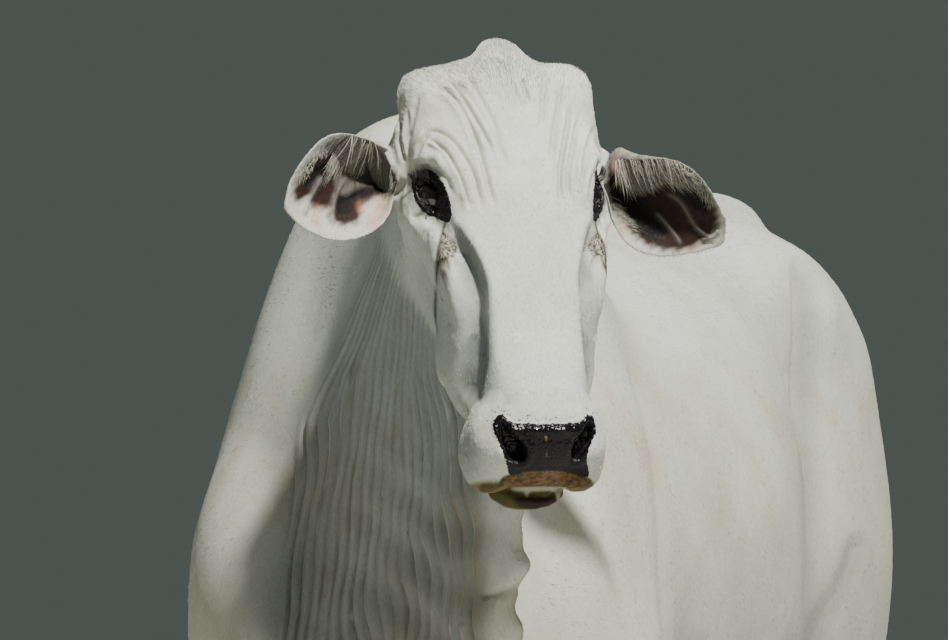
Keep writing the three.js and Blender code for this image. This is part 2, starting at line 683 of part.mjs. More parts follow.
// Ears: cupped leaves that hang out to the sides, open toward the front. Each is placed by the ways it
// points (out) and opens (open), in the body's frame.
function ear(base, out, open) {
  const way = new THREE.Vector3(...out).normalize();
  const mouth = new THREE.Vector3(...open).addScaledVector(way, -way.dot(new THREE.Vector3(...open))).normalize();
  const wide = new THREE.Vector3().crossVectors(way, mouth);
  const frame = new THREE.Matrix4().makeBasis(wide, way, mouth)
    .setPosition(new THREE.Vector3(...base).applyMatrix4(head.matrixWorld));
  // rows: share of the length, half width, half angle of the cup, how far the leaf bends back
  const at = through([
    [0, 25, 2.6, 0], [0.14, 31, 2.05, 2], [0.3, 46, 1.5, 4], [0.46, 56, 1.15, 5],
    [0.64, 54, 0.9, 3], [0.8, 42, 0.7, -2], [0.92, 24, 0.5, -8], [1, 5, 0.3, -12],
  ]);
  const long = 10;
  const round = 10;
  const v = [];
  const sheet = (r, i, away) => {
    const t = r / long;
    at(t, v);
    const [, half, cup, bend] = v;
    const radius = half / Math.sin(Math.min(cup, Math.PI / 2));
    const turn = cup * (2 * i / round - 1);
    const thick = EAR_THICK * (1 - 0.45 * Math.abs(2 * i / round - 1)) * away / 2;
    return [
      (radius + thick) * Math.sin(turn),
      EAR_LENGTH * (t + 0.05 * Math.sin(Math.PI * t) * Math.sin(turn)),
      radius - (radius + thick) * Math.cos(turn) + bend - 25 * (1 - t),
    ];
  };
  const rings = [];
  for (let r = 0; r <= long; r += 1) {
    const ring = [];
    for (let i = 0; i <= round; i += 1) ring.push(sheet(r, i, 1));
    for (let i = round; i >= 0; i -= 1) ring.push(sheet(r, i, -1));
    rings.push(ring);
  }
  // The ends are closed across the sheet, pair by pair
  const count = 2 * round + 2;
  const faces = [];
  for (let r = 0; r < long; r += 1) {
    for (let i = 0; i < count; i += 1) {
      const j = (i + 1) % count;
      const [a, b, c, d] = [r * count + i, r * count + j, (r + 1) * count + j, (r + 1) * count + i];
      if (i <= round) faces.push(a, c, b, a, d, c);
      else faces.push(a, d, b, b, d, c);
    }
  }
  for (let i = 0; i < round; i += 1) {
    const q = count - 1 - i;
    faces.push(i, i + 1, q, i + 1, q - 1, q);
    const e = long * count;
    faces.push(e + i, e + q, e + i + 1, e + i + 1, e + q, e + q - 1);
  }
  const leaf = solid(new THREE.BufferGeometry()
    .setAttribute('position', new THREE.Float32BufferAttribute(rings.flat(2), 3)).setIndex(faces));
  const floor = solid(new THREE.LatheGeometry(
    [[0, -2], [24, -2], [24.5, 11], [15, 5], [0, 3]].map((p) => new THREE.Vector2(...p)), 12,
  ));
  const seat = solid(new THREE.CylinderGeometry(100, 31, 110, 16).translate(0, 55, 0));
  return {
    leaf: leaf.add(floor).trimByPlane([0, 1, 0], GAP).transform(frame.elements),
    seat: seat.transform(frame.premultiply(head.matrixWorld.clone().invert()).elements),
  };
}
const earLeft = ear([125, -97, -62], [0.68, 0.39, -0.6], [0.3, -0.95, -0.05]);
const earRight = ear([-125, -97, -62], [-0.5, -0.8, -0.34], [0.3, -0.95, -0.05]);
part('ear_left', earLeft.leaf, HIDE);
part('ear_right', earRight.leaf, HIDE);


// Head

const muzzleCut = cut([0, -385, 0], [0, -1, 0]);
const mouthCut = cut([0, 0, -107], [0, 0, 1]);
const jawBlock = block([-140, -560, -260], [140, -335, -107 + GAP / 2]);

// The almond between the lids: turn runs round it, and open is the share of its full width. Gives the
// way from the eyeball's middle to that place on the rim, and the way outward across the rim.
const eyeAhead = new THREE.Vector3(0, -1, 0).addScaledVector(eyeWay, eyeWay.y).normalize();
const eyeUp = new THREE.Vector3().crossVectors(eyeWay, eyeAhead);
function almond(turn, open) {
  const wide = Math.hypot(Math.cos(turn) * 64, Math.sin(turn) * (Math.sin(turn) > 0 ? 43 : 38)) * Math.PI / 180 * open;
  const out = eyeAhead.clone().multiplyScalar(Math.cos(turn)).addScaledVector(eyeUp, Math.sin(turn));
  return {
    reach: eyeWay.clone().multiplyScalar(Math.cos(wide)).addScaledVector(out, Math.sin(wide)),
    across: out.clone().multiplyScalar(Math.cos(wide)).addScaledVector(eyeWay, -Math.sin(wide)),
  };
}

// Cleared in front of the eyeball, so that no flesh lies between the lids
function eyeWindow(side) {
  const rings = [[0.5, 0], [1, 0], [1, 34]].map(([far, ahead]) => Array.from({ length: 20 }, (_, i) => {
    const { reach } = almond(2 * Math.PI * i / 20, 0.84);
    return new THREE.Vector3(...EYE_AT).addScaledVector(reach, EYE_RADIUS * far)
      .addScaledVector(eyeWay, ahead).toArray();
  }));
  const made = solid(skin(rings));
  return side > 0 ? made : made.mirror([1, 0, 0]);
}

// Lids: a rim round the opening that follows the eyeball
function lids(side) {
  const rings = [];
  const steps = 20;
  for (let r = 0; r < steps; r += 1) {
    const turn = 2 * Math.PI * r / steps;
    const { reach, across } = almond(turn, 1);
    const thick = Math.sin(turn) > 0 ? 6.5 : 5;
    rings.push(Array.from({ length: 6 }, (_, i) => {
      const a = 2 * Math.PI * i / 6;
      return new THREE.Vector3(...EYE_AT).addScaledVector(reach, EYE_RADIUS + 0.5 + thick * 0.55 * Math.sin(a))
        .addScaledVector(across, thick * (0.25 + Math.cos(a))).toArray();
    }));
  }
  const points = rings.flat();
  const faces = [];
  for (let r = 0; r < steps; r += 1) {
    for (let i = 0; i < 6; i += 1) {
      const j = (i + 1) % 6;
      const q = (r + 1) % steps;
      faces.push(r * 6 + i, q * 6 + i, q * 6 + j, r * 6 + i, q * 6 + j, r * 6 + j);
    }
  }
  const made = solid(new THREE.BufferGeometry()
    .setAttribute('position', new THREE.Float32BufferAttribute(points.flat(), 3)).setIndex(faces));
  return side > 0 ? made : made.mirror([1, 0, 0]);
}
const eyeball = (radius, side) => new THREE.SphereGeometry(radius, 14, 8)
  .rotateZ(-Math.PI / 2).translate(side * EYE_AT[0], EYE_AT[1], EYE_AT[2]);

const headFlesh = surface(seenFrom(head.matrixWorld, cow), [
  ruled(-182, 17, -112, 11, -66, 19, 66, 11, 112, 17, 182), ruled(-415, 19, -196, 11, -112, 16, 66), ruled(-345, 21, -95, 13, 50),
]);
part('head', trim(headFlesh, [headBack, -1], [jawUnder, -1], [muzzleCut, -1])
  .subtract(jawBlock)
  .subtract(earLeft.seat).subtract(earRight.seat)
  .subtract(eyeWindow(1)).subtract(eyeWindow(-1)).add(lids(1)).add(lids(-1))
  .subtract(solid(eyeball(EYE_RADIUS + GAP, 1))).subtract(solid(eyeball(EYE_RADIUS + GAP, -1))), HIDE, head);
// Nostrils, comma shaped: round below, with a slit that runs up and outward
const nostril = solid(along(
  [[51, -421, -22], [45, -437, -26], [37, -454, -34], [31, -464, -48]],
  (t) => 3.5 + 8 * Math.sin(Math.PI * Math.min(t * 0.85, 1)) ** 2, (t) => 6 + 9 * t, { steps: 5, sides: 8 },
));
const muzzleFlesh = trim(
  surface(upperField, [ruled(-99, 10.5, 99), ruled(-486, 9.5, -430, 13, -366), ruled(-134, 10, 18)]),
  [muzzleCut, 1], [mouthCut, 1],
).subtract(nostril).subtract(nostril.mirror([1, 0, 0]));
const padSpace = (grow) => solid(new THREE.SphereGeometry(1, 18, 10)
  .scale(55 + grow, 27 + grow, 24 + grow).rotateX(-0.4).translate(0, -443, -23))
  .add(solid(new THREE.SphereGeometry(1, 18, 10)
    .scale(40 + grow, 26 + grow, 42 + grow).rotateX(-0.5).translate(0, -470, -56)));
part('muzzle', muzzleFlesh.subtract(padSpace(GAP)), HIDE, head);
part('nose_pad', muzzleFlesh.intersect(padSpace(0)), DARK_SKIN, head);
const chin = seenFrom(head.matrixWorld, headless);
part('lower_jaw', trim(
  surface((x, y, z) => blend(chin(x, y, z), lowerField(x, y, z), 34), [
    ruled(-104, 13, 104), ruled(-500, 10, -440, 15, -300), ruled(-208, 11, -86),
  ]),
  [cut([0, -335, 0], [0, -1, 0]), 1], [mouthCut, -1], [jawUnder, -1],
), HIDE, head);
part('eye_left', eyeball(EYE_RADIUS, 1), EYE_GLOSS, head);
part('eye_right', eyeball(EYE_RADIUS, -1), EYE_GLOSS, head);


// Legs

const fetlock = cut([0, 0, 166], [0, 0, 1]);
const coronet = cut([0, 0, HOOF_HEIGHT], [0, 0, 1]);
const elbow = cut([0, 0, 690], [0, 0, 1]);
const knee = cut([0, 0, 502], [0, 0, 1]);
const hock = cut([0, 0, 560], [0, 0, 1]);

// One claw: a D-shaped block of horn, its toe forward, its flat side toward the other claw
function claw(middle, toe, heel, side) {
  const horn = new THREE.CylinderGeometry(1, 1, HOOF_HEIGHT - GAP, 14, 2);
  const spot = horn.attributes.position;
  for (let i = 0; i < spot.count; i += 1) {
    const up = (spot.getY(i) + (HOOF_HEIGHT - GAP) / 2) / (HOOF_HEIGHT - GAP);
    const across = spot.getX(i) * (spot.getX(i) * side < 0 ? 0.72 : 1.1);
    const ahead = -spot.getZ(i);
    const front = toe + (up * 0.92 + 0.08 * up * up) * 30;
    const back = heel - up * 4;
    const wide = 24 - 4.5 * up;
    spot.setXYZ(
      i, middle + side * 25 + across * wide * (1 - 0.12 * Math.max(-ahead, 0)) + side * 1.5 * (1 - up),
      (front + back) / 2 + ahead * (back - front) / 2, up * (HOOF_HEIGHT - GAP),
    );
  }
  return horn;
}

for (const [side, name, s] of [[1, 'left', 0], [-1, 'right', 1]]) {
  const own = (made) => (side > 0 ? made : made.mirror([1, 0, 0]));
  const reach = (near, cell, far) => (side > 0 ? ruled(near, cell, far) : ruled(-far, cell, -near));
  const fore = surface(cow, [reach(68, 23, 288), ruled(-290, 24, 180), ruled(26, 27, 180, 48, 360, 33, 520, 48, 740)])
    .intersect(own(foreBox(-GAP / 2)));
  part(`foreleg_${name}`, trim(fore, [knee, 1]), HIDE);
  part(`fore_cannon_${name}`, trim(fore, [knee, -1], [fetlock, 1]), HIDE);
  part(`fore_pastern_${name}`, trim(fore, [fetlock, -1], [coronet, 1]), HIDE);
  const hind = surface(cow, [reach(78, 23, 276), ruled(800, 25, 1340), ruled(26, 27, 180, 44, 460, 35, 640, 45, 750)])
    .intersect(own(hindBox(-GAP / 2)));
  part(`hindleg_${name}`, trim(hind, [hock, 1]), HIDE);
  part(`hind_cannon_${name}`, trim(hind, [hock, -1], [fetlock, 1]), HIDE);
  part(`hind_pastern_${name}`, trim(hind, [fetlock, -1], [coronet, 1]), HIDE);

  for (const [place, toe, heel, steps] of [['fore', -156, -34, STEP.fore], ['hind', 1002, 1124, STEP.hind]]) {
    const lag = steps[s] * clamp((690 - HOOF_HEIGHT / 2) / 600, 0, 1);
    for (const [claws, out] of [['inner', -1], ['outer', 1]]) {
      part(`${place}_claw_${name}_${claws}`, claw(side * 148, toe + lag, heel + lag, side * out), HOOF_HORN);
    }
  }
}

// Tail: it hangs from the croup, clear of the thighs, and ends in a switch of flat locks

const tailEnd = [2, 1322, 690];
const dock = surface(cow, [ruled(-82, 17, 82), ruled(1135, 22, 1348), ruled(1130, 20, 1350)])
  .intersect(dockBox(-GAP / 2));
part('tail', dock.add(solid(along(
  [[0, 1288, 1240], [0, 1306, 1218], [0, 1321, 1170], [0, 1327, 1080], [0, 1326, 900], tailEnd],
  (t) => 14 * (1 - t) ** 2 + 14, (t) => 14 * (1 - t) ** 2 + 12, { steps: 13, sides: 9 },
))), HIDE);

// One lock of the switch: a flat blade that leaves the core, swells and tapers to a point
function lock(turn, top, length, bow) {
  const out = new THREE.Vector3(Math.cos(turn), Math.sin(turn), 0);
  const edge = new THREE.Vector3(-Math.sin(turn), Math.cos(turn), 0);
  const rings = [0, 0.45, 0.8, 1].map((t) => {
    const at = new THREE.Vector3(tailEnd[0], tailEnd[1], top - length * t)
      .addScaledVector(out, 4 + bow * Math.sin(Math.PI * Math.min(t * 1.25, 1)) * (1 - 0.4 * t) + 6 * t)
      .addScaledVector(edge, 8 * Math.sin(3 * t + turn * 2));
    const wide = 30 * (0.4 + 1.1 * t) * (1 - t ** 3) + 1.5;
    const thick = 9 * (1 - 0.75 * t) + 0.8;
    return [[-1, -0.4], [-0.2, -1], [1, -0.4], [0.3, 1]].map(([u, v]) => at.clone()
      .addScaledVector(edge, u * wide).addScaledVector(out, v * thick).toArray());
  });
  return solid(skin(rings));
}
let switchHair = solid(along(
  [[tailEnd[0], tailEnd[1], tailEnd[2] - GAP], [2, 1322, 560], [0, 1320, 380]],
  (t) => 14 + 14 * Math.sin(Math.PI * t), (t) => 12 + 12 * Math.sin(Math.PI * t), { steps: 4, sides: 9 },
));
for (let i = 0; i < 8; i += 1) {
  const row = Math.floor(i / 3);
  switchHair = switchHair.add(lock(i * 2.2, 655 - row * 85, 285 - 16 * (i % 3), 32 - row * 5));
}
part('tail_switch', switchHair.trimByPlane([0, 0, -1], -tailEnd[2] + GAP), SWITCH_HAIR);

// The model stands on the floor, with the middle of its outline over the origin
const outline = new THREE.Box3().setFromObject(root, true);
body.position.set(-(outline.min.x + outline.max.x) / 2, -(outline.min.y + outline.max.y) / 2, -outline.min.z);

export default root;
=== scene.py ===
# %% [markdown]
# # A white Brahman cow, life size
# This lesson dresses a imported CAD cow: the CAD gives the pose and the size, and the cells below give
# the skin, the folds, the ears, the eyes, the hair and the colours.

import math
import bmesh
import bpy
import numpy as np
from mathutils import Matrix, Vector
from mathutils.bvhtree import BVHTree


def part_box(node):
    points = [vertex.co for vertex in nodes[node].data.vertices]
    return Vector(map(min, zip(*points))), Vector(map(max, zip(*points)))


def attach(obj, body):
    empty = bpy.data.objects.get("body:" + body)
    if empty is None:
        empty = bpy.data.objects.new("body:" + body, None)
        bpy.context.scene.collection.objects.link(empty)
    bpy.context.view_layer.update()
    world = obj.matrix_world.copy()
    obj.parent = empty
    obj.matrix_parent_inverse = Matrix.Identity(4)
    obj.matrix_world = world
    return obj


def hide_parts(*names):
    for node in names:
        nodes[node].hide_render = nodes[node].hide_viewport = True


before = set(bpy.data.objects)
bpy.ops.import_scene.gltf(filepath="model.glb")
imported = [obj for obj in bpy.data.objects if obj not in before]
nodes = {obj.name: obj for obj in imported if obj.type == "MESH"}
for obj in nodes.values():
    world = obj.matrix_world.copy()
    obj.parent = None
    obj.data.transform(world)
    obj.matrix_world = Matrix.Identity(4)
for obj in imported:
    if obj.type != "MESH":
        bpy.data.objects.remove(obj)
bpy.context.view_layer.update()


def step(low, high, x):
    """0 below low, 1 above high, smooth between them. Low may be the larger one."""
    t = np.clip((x - low) / (high - low), 0, 1)
    return t * t * (3 - 2 * t)


def unit(a):
    """Each row of a, made one long."""
    return a / np.maximum(np.linalg.norm(a, axis=-1, keepdims=True), 1e-12)


def middle(name):
    low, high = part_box(name)
    return np.array((low + high) / 2)


# %% [markdown]
# ## Where the body and the head are
# Every later cell speaks of places in one of three ways: in the body's own millimetres, in the
# head's millimetres, or in the pixels of the photographed view. All three come from the CAD.

# %% The frames of the body, the head and the view
TURN, PITCH = math.radians(34.5), math.radians(64)
HEAD = np.array([
    [math.cos(TURN), math.sin(TURN), 0],
    [-math.sin(TURN) * math.cos(PITCH), math.cos(TURN) * math.cos(PITCH), math.sin(PITCH)],
    [math.sin(TURN) * math.sin(PITCH), -math.cos(TURN) * math.sin(PITCH), math.cos(PITCH)],
])
EYE_AT = np.array([86, -147, -38])
EYE_OUT = unit(np.array([0.73, -0.12, 0.67]))
POLL = (middle("eye_left") + middle("eye_right")) / 2 - EYE_AT * [0, 1, 1] / 1000 @ HEAD
POLL_IN_BODY, AIM_IN_BODY = np.array([0.227, -0.482, 1.534]), np.array([0.205, -0.51, 1.25])
BODY = POLL - POLL_IN_BODY
BODY[2] = 0
AIM = BODY + AIM_IN_BODY
AZ, EL, AWAY = math.radians(18), math.radians(1.7), 9.5
BACK = np.array([math.sin(AZ) * math.cos(EL), -math.cos(AZ) * math.cos(EL), math.sin(EL)])
LENS_AT = AIM + BACK * AWAY
RIGHT = np.array([math.cos(AZ), math.sin(AZ), 0])
UP = np.cross(BACK, RIGHT)
VIEW_ANGLE, PHOTO_WIDE, PHOTO_HIGH = 4.25, 948, 640
HALF = math.tan(math.radians(VIEW_ANGLE / 2))
TOP = np.array([0, 0, 1.0])


def in_body(p):
    return (p - BODY) * 1000


def in_head(p):
    return (p - POLL) @ HEAD.T * 1000


def out_of_head(h):
    return np.asarray(h, float) / 1000 @ HEAD + POLL


def seen(p):
    """Pixels of the photographed view, x to the right and y down."""
    d = p - LENS_AT
    deep = -(d @ BACK)
    x, y = PHOTO_WIDE // 2, PHOTO_HIGH // 2
    return np.stack([x + y * (d @ RIGHT) / deep / HALF, y - y * (d @ UP) / deep / HALF], -1)


def both_flanks(b):
    """Places of the body, all brought to its left side. The view sees that side, and both look alike."""
    return seen(BODY + np.abs(b) * [1, 0, 0] / 1000 + b * [0, 1, 1] / 1000)


print("body at", BODY.round(4), "poll at", POLL.round(4))

# %% [markdown]
# ## Camera, floor and light
# The view is that of the photograph, from far off with a long lens. The key light stands high in
# front, a little to the right, so that the head shades the neck.

# %% Camera, floor and lights
scene = bpy.context.scene


def new_object(name, data):
    made = bpy.data.objects.new(name, data)
    scene.collection.objects.link(made)
    return made


camera = new_object("camera", bpy.data.cameras.new("camera"))
SENSOR = 36
camera.data.sensor_width = SENSOR
camera.data.lens = SENSOR / 2 / (HALF * PHOTO_WIDE / PHOTO_HIGH)
camera.data.clip_end = 60
camera.location = LENS_AT
camera.rotation_euler = Vector(-BACK).to_track_quat("-Z", "Y").to_euler()
scene.camera = camera


def lamp(name, turn, rise, away, size, power, colour):
    """A round soft light, turn degrees to the right of the camera and rise degrees up, aimed at the cow."""
    a, e = math.radians(turn), math.radians(rise)
    level = unit(BACK * [1, 1, 0])
    way = (level * math.cos(a) + RIGHT * math.sin(a)) * math.cos(e) + TOP * math.sin(e)
    light = bpy.data.lights.new(name, "AREA")
    light.shape = "DISK"
    light.size = size
    light.energy = power
    light.color = colour
    made = new_object(name, light)
    made.location = AIM + way * away
    made.rotation_euler = Vector(way).to_track_quat("Z", "Y").to_euler()


lamp("key", turn=31, rise=57, away=8, size=0.55, power=1750, colour=(1.0, 0.98, 0.925))
lamp("fill", turn=-60, rise=15, away=8, size=4, power=8, colour=(0.86, 0.93, 1.0))
lamp("rim", turn=160, rise=35, away=8, size=3, power=60, colour=(1.0, 0.98, 0.94))

world = bpy.data.worlds.new("studio")
scene.world = world
world.use_nodes = True
background = world.node_tree.nodes["Background"].inputs
background["Color"].default_value = (0.36, 0.43, 0.39, 1)
background["Strength"].default_value = 0.22

bm = bmesh.new()
bmesh.ops.create_circle(bm, cap_ends=True, radius=7, segments=96)
floor_mesh = bpy.data.meshes.new("floor")
bm.to_mesh(floor_mesh)
bm.free()
floor = new_object("floor", floor_mesh)
print("camera lens", round(camera.data.lens, 1))

# %% [markdown]
# ## Materials
# The hide is fine white hair over grey skin: nearly white where it lies close, grey in the hollows,
# where painted shade darkens it too, cream where it is dusty. The horn, the eyes and the nose are darker
# and glossier. Each material is made of noise and waves, so that it has grain at any distance and needs
# no picture. What lies where comes from two attributes on the points, tint and marks, which a later cell
# paints.


# %% Small makers for shader nodes
class Shade:
    """A material and its node tree, with short ways to add nodes."""

    def __init__(self, name):
        self.material = bpy.data.materials.new(name)
        self.material.use_nodes = True
        self.tree = self.material.node_tree
        self.shader = self.tree.nodes["Principled BSDF"]
        self.place = self.tree.nodes.new("ShaderNodeTexCoord").outputs["Object"]

    def put(self, socket, value):
        if hasattr(value, "is_output"):
            self.tree.links.new(value, socket)
        elif isinstance(value, tuple) and len(value) == 3 and socket.type == "RGBA":
            socket.default_value = (*value, 1)
        else:
            socket.default_value = value

    def node(self, kind, out=0, settings=(), **inputs):
        made = self.tree.nodes.new("ShaderNode" + kind)
        for key, value in dict(settings).items():
            setattr(made, key, value)
        for key, value in inputs.items():
            key = int(key[1:]) if key[0] == "i" and key[1:].isdigit() else key
            self.put(made.inputs[key], value)
        return made.outputs[out]

    def stretched(self, x, y, z):
        return self.node("Mapping", Vector=self.place, Scale=(x, y, z))

    def noise(self, scale, detail=3.0, rough=0.55, at=None):
        return self.node("TexNoise", Vector=at or self.place, Scale=scale, Detail=detail, Roughness=rough)

    def ramp(self, value, low, high, to_low=0.0, to_high=1.0):
        return self.node("MapRange", settings={"interpolation_type": "SMOOTHSTEP"}, Value=value,
                         i1=low, i2=high, i3=to_low, i4=to_high)

    def mix(self, share, a, b, kind="MIX"):
        return self.node("Mix", 2, {"data_type": "RGBA", "blend_type": kind}, i0=share, i6=a, i7=b)

    def maths(self, kind, a, b=0.0):
        return self.node("Math", settings={"operation": kind}, i0=a, i1=b)

    def bump(self, height, strength, distance, under=None):
        made = self.node("Bump", Height=height, Strength=strength, Distance=distance)
        if under is not None:
            self.tree.links.new(under, made.node.inputs["Normal"])
        return made

    def finish(self, colour, rough, normal=None, **more):
        self.put(self.shader.inputs["Base Color"], colour)
        self.put(self.shader.inputs["Roughness"], rough)
        if normal is not None:
            self.put(self.shader.inputs["Normal"], normal)
        for key, value in more.items():
            self.shader.inputs[key.replace("_", " ")].default_value = value
        return self.material


# %% The hide, the hair, the floor, the horn and the eye
BLACK = (0.0036, 0.0028, 0.0042)


def make_hide():
    """White hair over grey skin. The marks attribute says where the skin is bare, stained or wet."""
    s = Shade("hide")
    tint = s.node("Attribute", 0, {"attribute_name": "tint"})
    marks = s.node("Attribute", 0, {"attribute_name": "marks"})
    split = s.tree.nodes.new("ShaderNodeSeparateColor")
    s.tree.links.new(marks, split.inputs[0])
    bare, stain, wet = split.outputs[0], split.outputs[1], split.outputs[2]
    grain = s.noise(1.0, 4, 0.6, at=s.stretched(520, 200, 200))
    broad = s.noise(6, 4)
    mottle = s.noise(38, 3)
    dots = s.noise(340, 2, 0.5)
    ragged = s.maths("ADD", bare, s.maths("MULTIPLY", s.maths("SUBTRACT", dots, 0.5), 0.9))
    bare = s.ramp(ragged, 0.42, 0.56)
    furred = s.maths("SUBTRACT", 1.0, s.maths("MAXIMUM", bare, wet))
    colour = s.mix(s.ramp(broad, 0.42, 0.7, 0.0, 0.45), tint, (0.80, 0.74, 0.62), "MULTIPLY")
    colour = s.mix(s.ramp(mottle, 0.4, 0.75, 0.0, 0.25), colour, (0.70, 0.72, 0.72), "MULTIPLY")
    colour = s.mix(s.ramp(grain, 0.35, 0.7, 0.0, 0.3), colour, (0.55, 0.55, 0.52), "MULTIPLY")
    uneven = s.maths("MULTIPLY", s.maths("SUBTRACT", mottle, 0.5), 0.7)
    stained = s.ramp(s.maths("ADD", stain, uneven), 0.25, 0.75)
    rust = s.mix(s.ramp(s.noise(160, 3), 0.38, 0.62), (0.135, 0.064, 0.003), (0.034, 0.016, 0.002))
    colour = s.mix(stained, colour, rust)
    black = s.mix(s.ramp(s.noise(420, 2), 0.55, 0.85), BLACK, (0.012, 0.010, 0.010))
    colour = s.mix(bare, colour, black)
    pebbles = s.node("TexVoronoi", 0, {"feature": "SMOOTH_F1"}, Vector=s.place, Scale=300.0)
    normal = s.bump(s.noise(1100, 2), 0.22, 0.0006, s.bump(s.maths("MULTIPLY", grain, furred), 0.4, 0.001))
    normal = s.bump(s.maths("MULTIPLY", pebbles, wet), 0.7, 0.0018, normal)
    rough = s.maths("SUBTRACT", s.ramp(grain, 0.3, 0.7, 0.62, 0.8), s.maths("MULTIPLY", wet, 0.48))
    return s.finish(colour, rough, normal, Sheen_Weight=0.03, Sheen_Roughness=0.4,
                    Specular_IOR_Level=0.22)


def make_hair(name, gloss):
    """Hair of the tufts, each as light or dark as the skin under it."""
    s = Shade(name)
    tint = s.node("Attribute", 0, {"attribute_name": "tint"})
    strand = s.noise(1.0, 2, 0.5, at=s.stretched(900, 300, 300))
    colour = s.mix(s.ramp(strand, 0.3, 0.7, 0.0, 0.45), tint, (0.62, 0.6, 0.55), "MULTIPLY")
    return s.finish(colour, s.ramp(strand, 0.3, 0.7, gloss, gloss + 0.18), s.bump(strand, 0.25, 0.0006),
                    Sheen_Weight=0.08, Sheen_Roughness=0.4)


def make_floor():
    s = Shade("floor_paint")
    colour = s.mix(s.ramp(s.noise(2.5, 3), 0.3, 0.7), (0.5, 0.5, 0.48), (0.54, 0.54, 0.52))
    return s.finish(colour, 0.8, s.bump(s.noise(60, 3), 0.1, 0.002))


def make_horn():
    s = Shade("hoof_horn")
    rings = s.node("TexWave", 0, {"bands_direction": "Z"}, Vector=s.place, Scale=55.0, Distortion=2.5,
                   Detail=2.0)
    streaks = s.noise(1.0, 3, 0.5, at=s.stretched(260, 260, 18))
    colour = s.mix(s.ramp(s.noise(30, 4), 0.35, 0.7), (0.030, 0.026, 0.022), (0.085, 0.07, 0.055))
    colour = s.mix(s.ramp(streaks, 0.4, 0.75, 0.0, 0.6), colour, (0.12, 0.1, 0.08))
    colour = s.mix(s.ramp(rings, 0.2, 0.9, 0.0, 0.3), colour, (0.15, 0.125, 0.1))
    return s.finish(colour, s.ramp(rings, 0.2, 0.9, 0.38, 0.6), s.bump(rings, 0.25, 0.001))


def make_eye():
    s = Shade("eye_wet")
    tint = s.node("Attribute", 0, {"attribute_name": "tint"})
    colour = s.mix(s.ramp(s.noise(240, 3), 0.4, 0.7, 0.0, 0.6), tint, (0.35, 0.3, 0.26), "MULTIPLY")
    rough = s.ramp(s.noise(90, 2), 0.3, 0.7, 0.03, 0.07)
    return s.finish(colour, rough, Coat_Weight=1.0, Coat_Roughness=0.02)


HIDE, FLOOR, HORN, EYE_WET = make_hide(), make_floor(), make_horn(), make_eye()
COAT, SWITCH = make_hair("coat_hair", 0.6), make_hair("switch_hair", 0.42)
floor_mesh.materials.append(FLOOR)
print(len(bpy.data.materials), "materials")

# %% [markdown]
# ## One skin
# A real hide runs over the whole animal without a seam, but the CAD flesh comes in thin-cut parts.
# The parts are copied, joined and remeshed into one surface. A voxel remesh is the plain way to weld
# parts that nearly touch. Its cells are coarse, and later cells cut them finer where that counts.

# %% Helpers for meshes
HEAD_PARTS = ["head", "muzzle", "nose_pad", "lower_jaw"]
SKIN_PARTS = ["hump", "chest", "barrel", "rump", "neck", "dewlap"] + HEAD_PARTS + ["tail"]
SKIN_PARTS += [f"{part}_{side}" for side in ("left", "right") for part in (
    "foreleg", "fore_cannon", "fore_pastern", "hindleg", "hind_cannon", "hind_pastern")]


def welded(names, push=0.0):
    """The named nodes' copies in one mesh, corners joined, pushed outward a little so that they meet."""
    mesh = bpy.data.meshes.new("welded")
    whole = bmesh.new()
    for name in names:
        own = bmesh.new()
        own.from_mesh(nodes[name].data)
        bmesh.ops.remove_doubles(own, verts=own.verts, dist=1e-5)
        own.normal_update()
        for v, way in [(v, v.normal.copy()) for v in own.verts]:
            v.co += way * push
        own.to_mesh(mesh)
        own.free()
        whole.from_mesh(mesh)
    whole.to_mesh(mesh)
    whole.free()
    return mesh


def applied(made):
    """The object's mesh with its modifiers put into it."""
    graph = bpy.context.evaluated_depsgraph_get()
    mesh = bpy.data.meshes.new_from_object(made.evaluated_get(graph))
    old = made.data
    made.modifiers.clear()
    made.data = mesh
    bpy.data.meshes.remove(old)
    return made


def remeshed(made, cell):
    m = made.modifiers.new("remesh", "REMESH")
    m.mode = "VOXEL"
    m.voxel_size = cell
    return applied(made)


def read(items, key, width=3, kind=float):
    a = np.empty(len(items) * width, kind)
    items.foreach_get(key, a)
    return a.reshape(-1, width) if width > 1 else a


def points(mesh):
    return read(mesh.vertices, "co")


def normals(mesh):
    return read(mesh.vertices, "normal")


def move_to(mesh, p):
    mesh.vertices.foreach_set("co", np.asarray(p, float).ravel())
    mesh.update()


def relaxed(mesh, p, share, times):
    """Each point drawn halfway to the middle of its neighbours, by its share, so many times."""
    e = read(mesh.edges, "vertices", 2, np.int32)
    a = np.concatenate([e[:, 0], e[:, 1]])
    order = np.argsort(a, kind="stable")
    near = np.concatenate([e[:, 1], e[:, 0]])[order]
    count = np.bincount(a, minlength=len(p))
    whole = count > 0
    start = (np.cumsum(count) - count)[whole]
    half = (0.5 * share * whole)[:, None][whole]
    p = p.copy()
    for _ in range(int(times)):
        mean = np.add.reduceat(p[near], start, axis=0) / count[whole][:, None]
        p[whole] += (mean - p[whole]) * half
    return p


def refine(made, wanted):
    """Cuts in four the faces whose points are all wanted."""
    bm = bmesh.new()
    bm.from_mesh(made.data)
    edges = {e for f in bm.faces if all(wanted[v.index] for v in f.verts) for e in f.edges}
    bmesh.ops.subdivide_edges(bm, edges=list(edges), cuts=1, use_grid_fill=True)
    bm.to_mesh(made.data)
    bm.free()


def triangles(mesh):
    return int((read(mesh.polygons, "loop_total", 1, np.int32) - 2).sum())


# %% Copies of the flesh, welded into one surface
CELL = 0.0062
MEET = 0.0003
skin = remeshed(new_object("skin", welded(SKIN_PARTS + ["eye_left", "eye_right"], MEET)), CELL)
print("skin welded:", len(skin.data.vertices), "points")

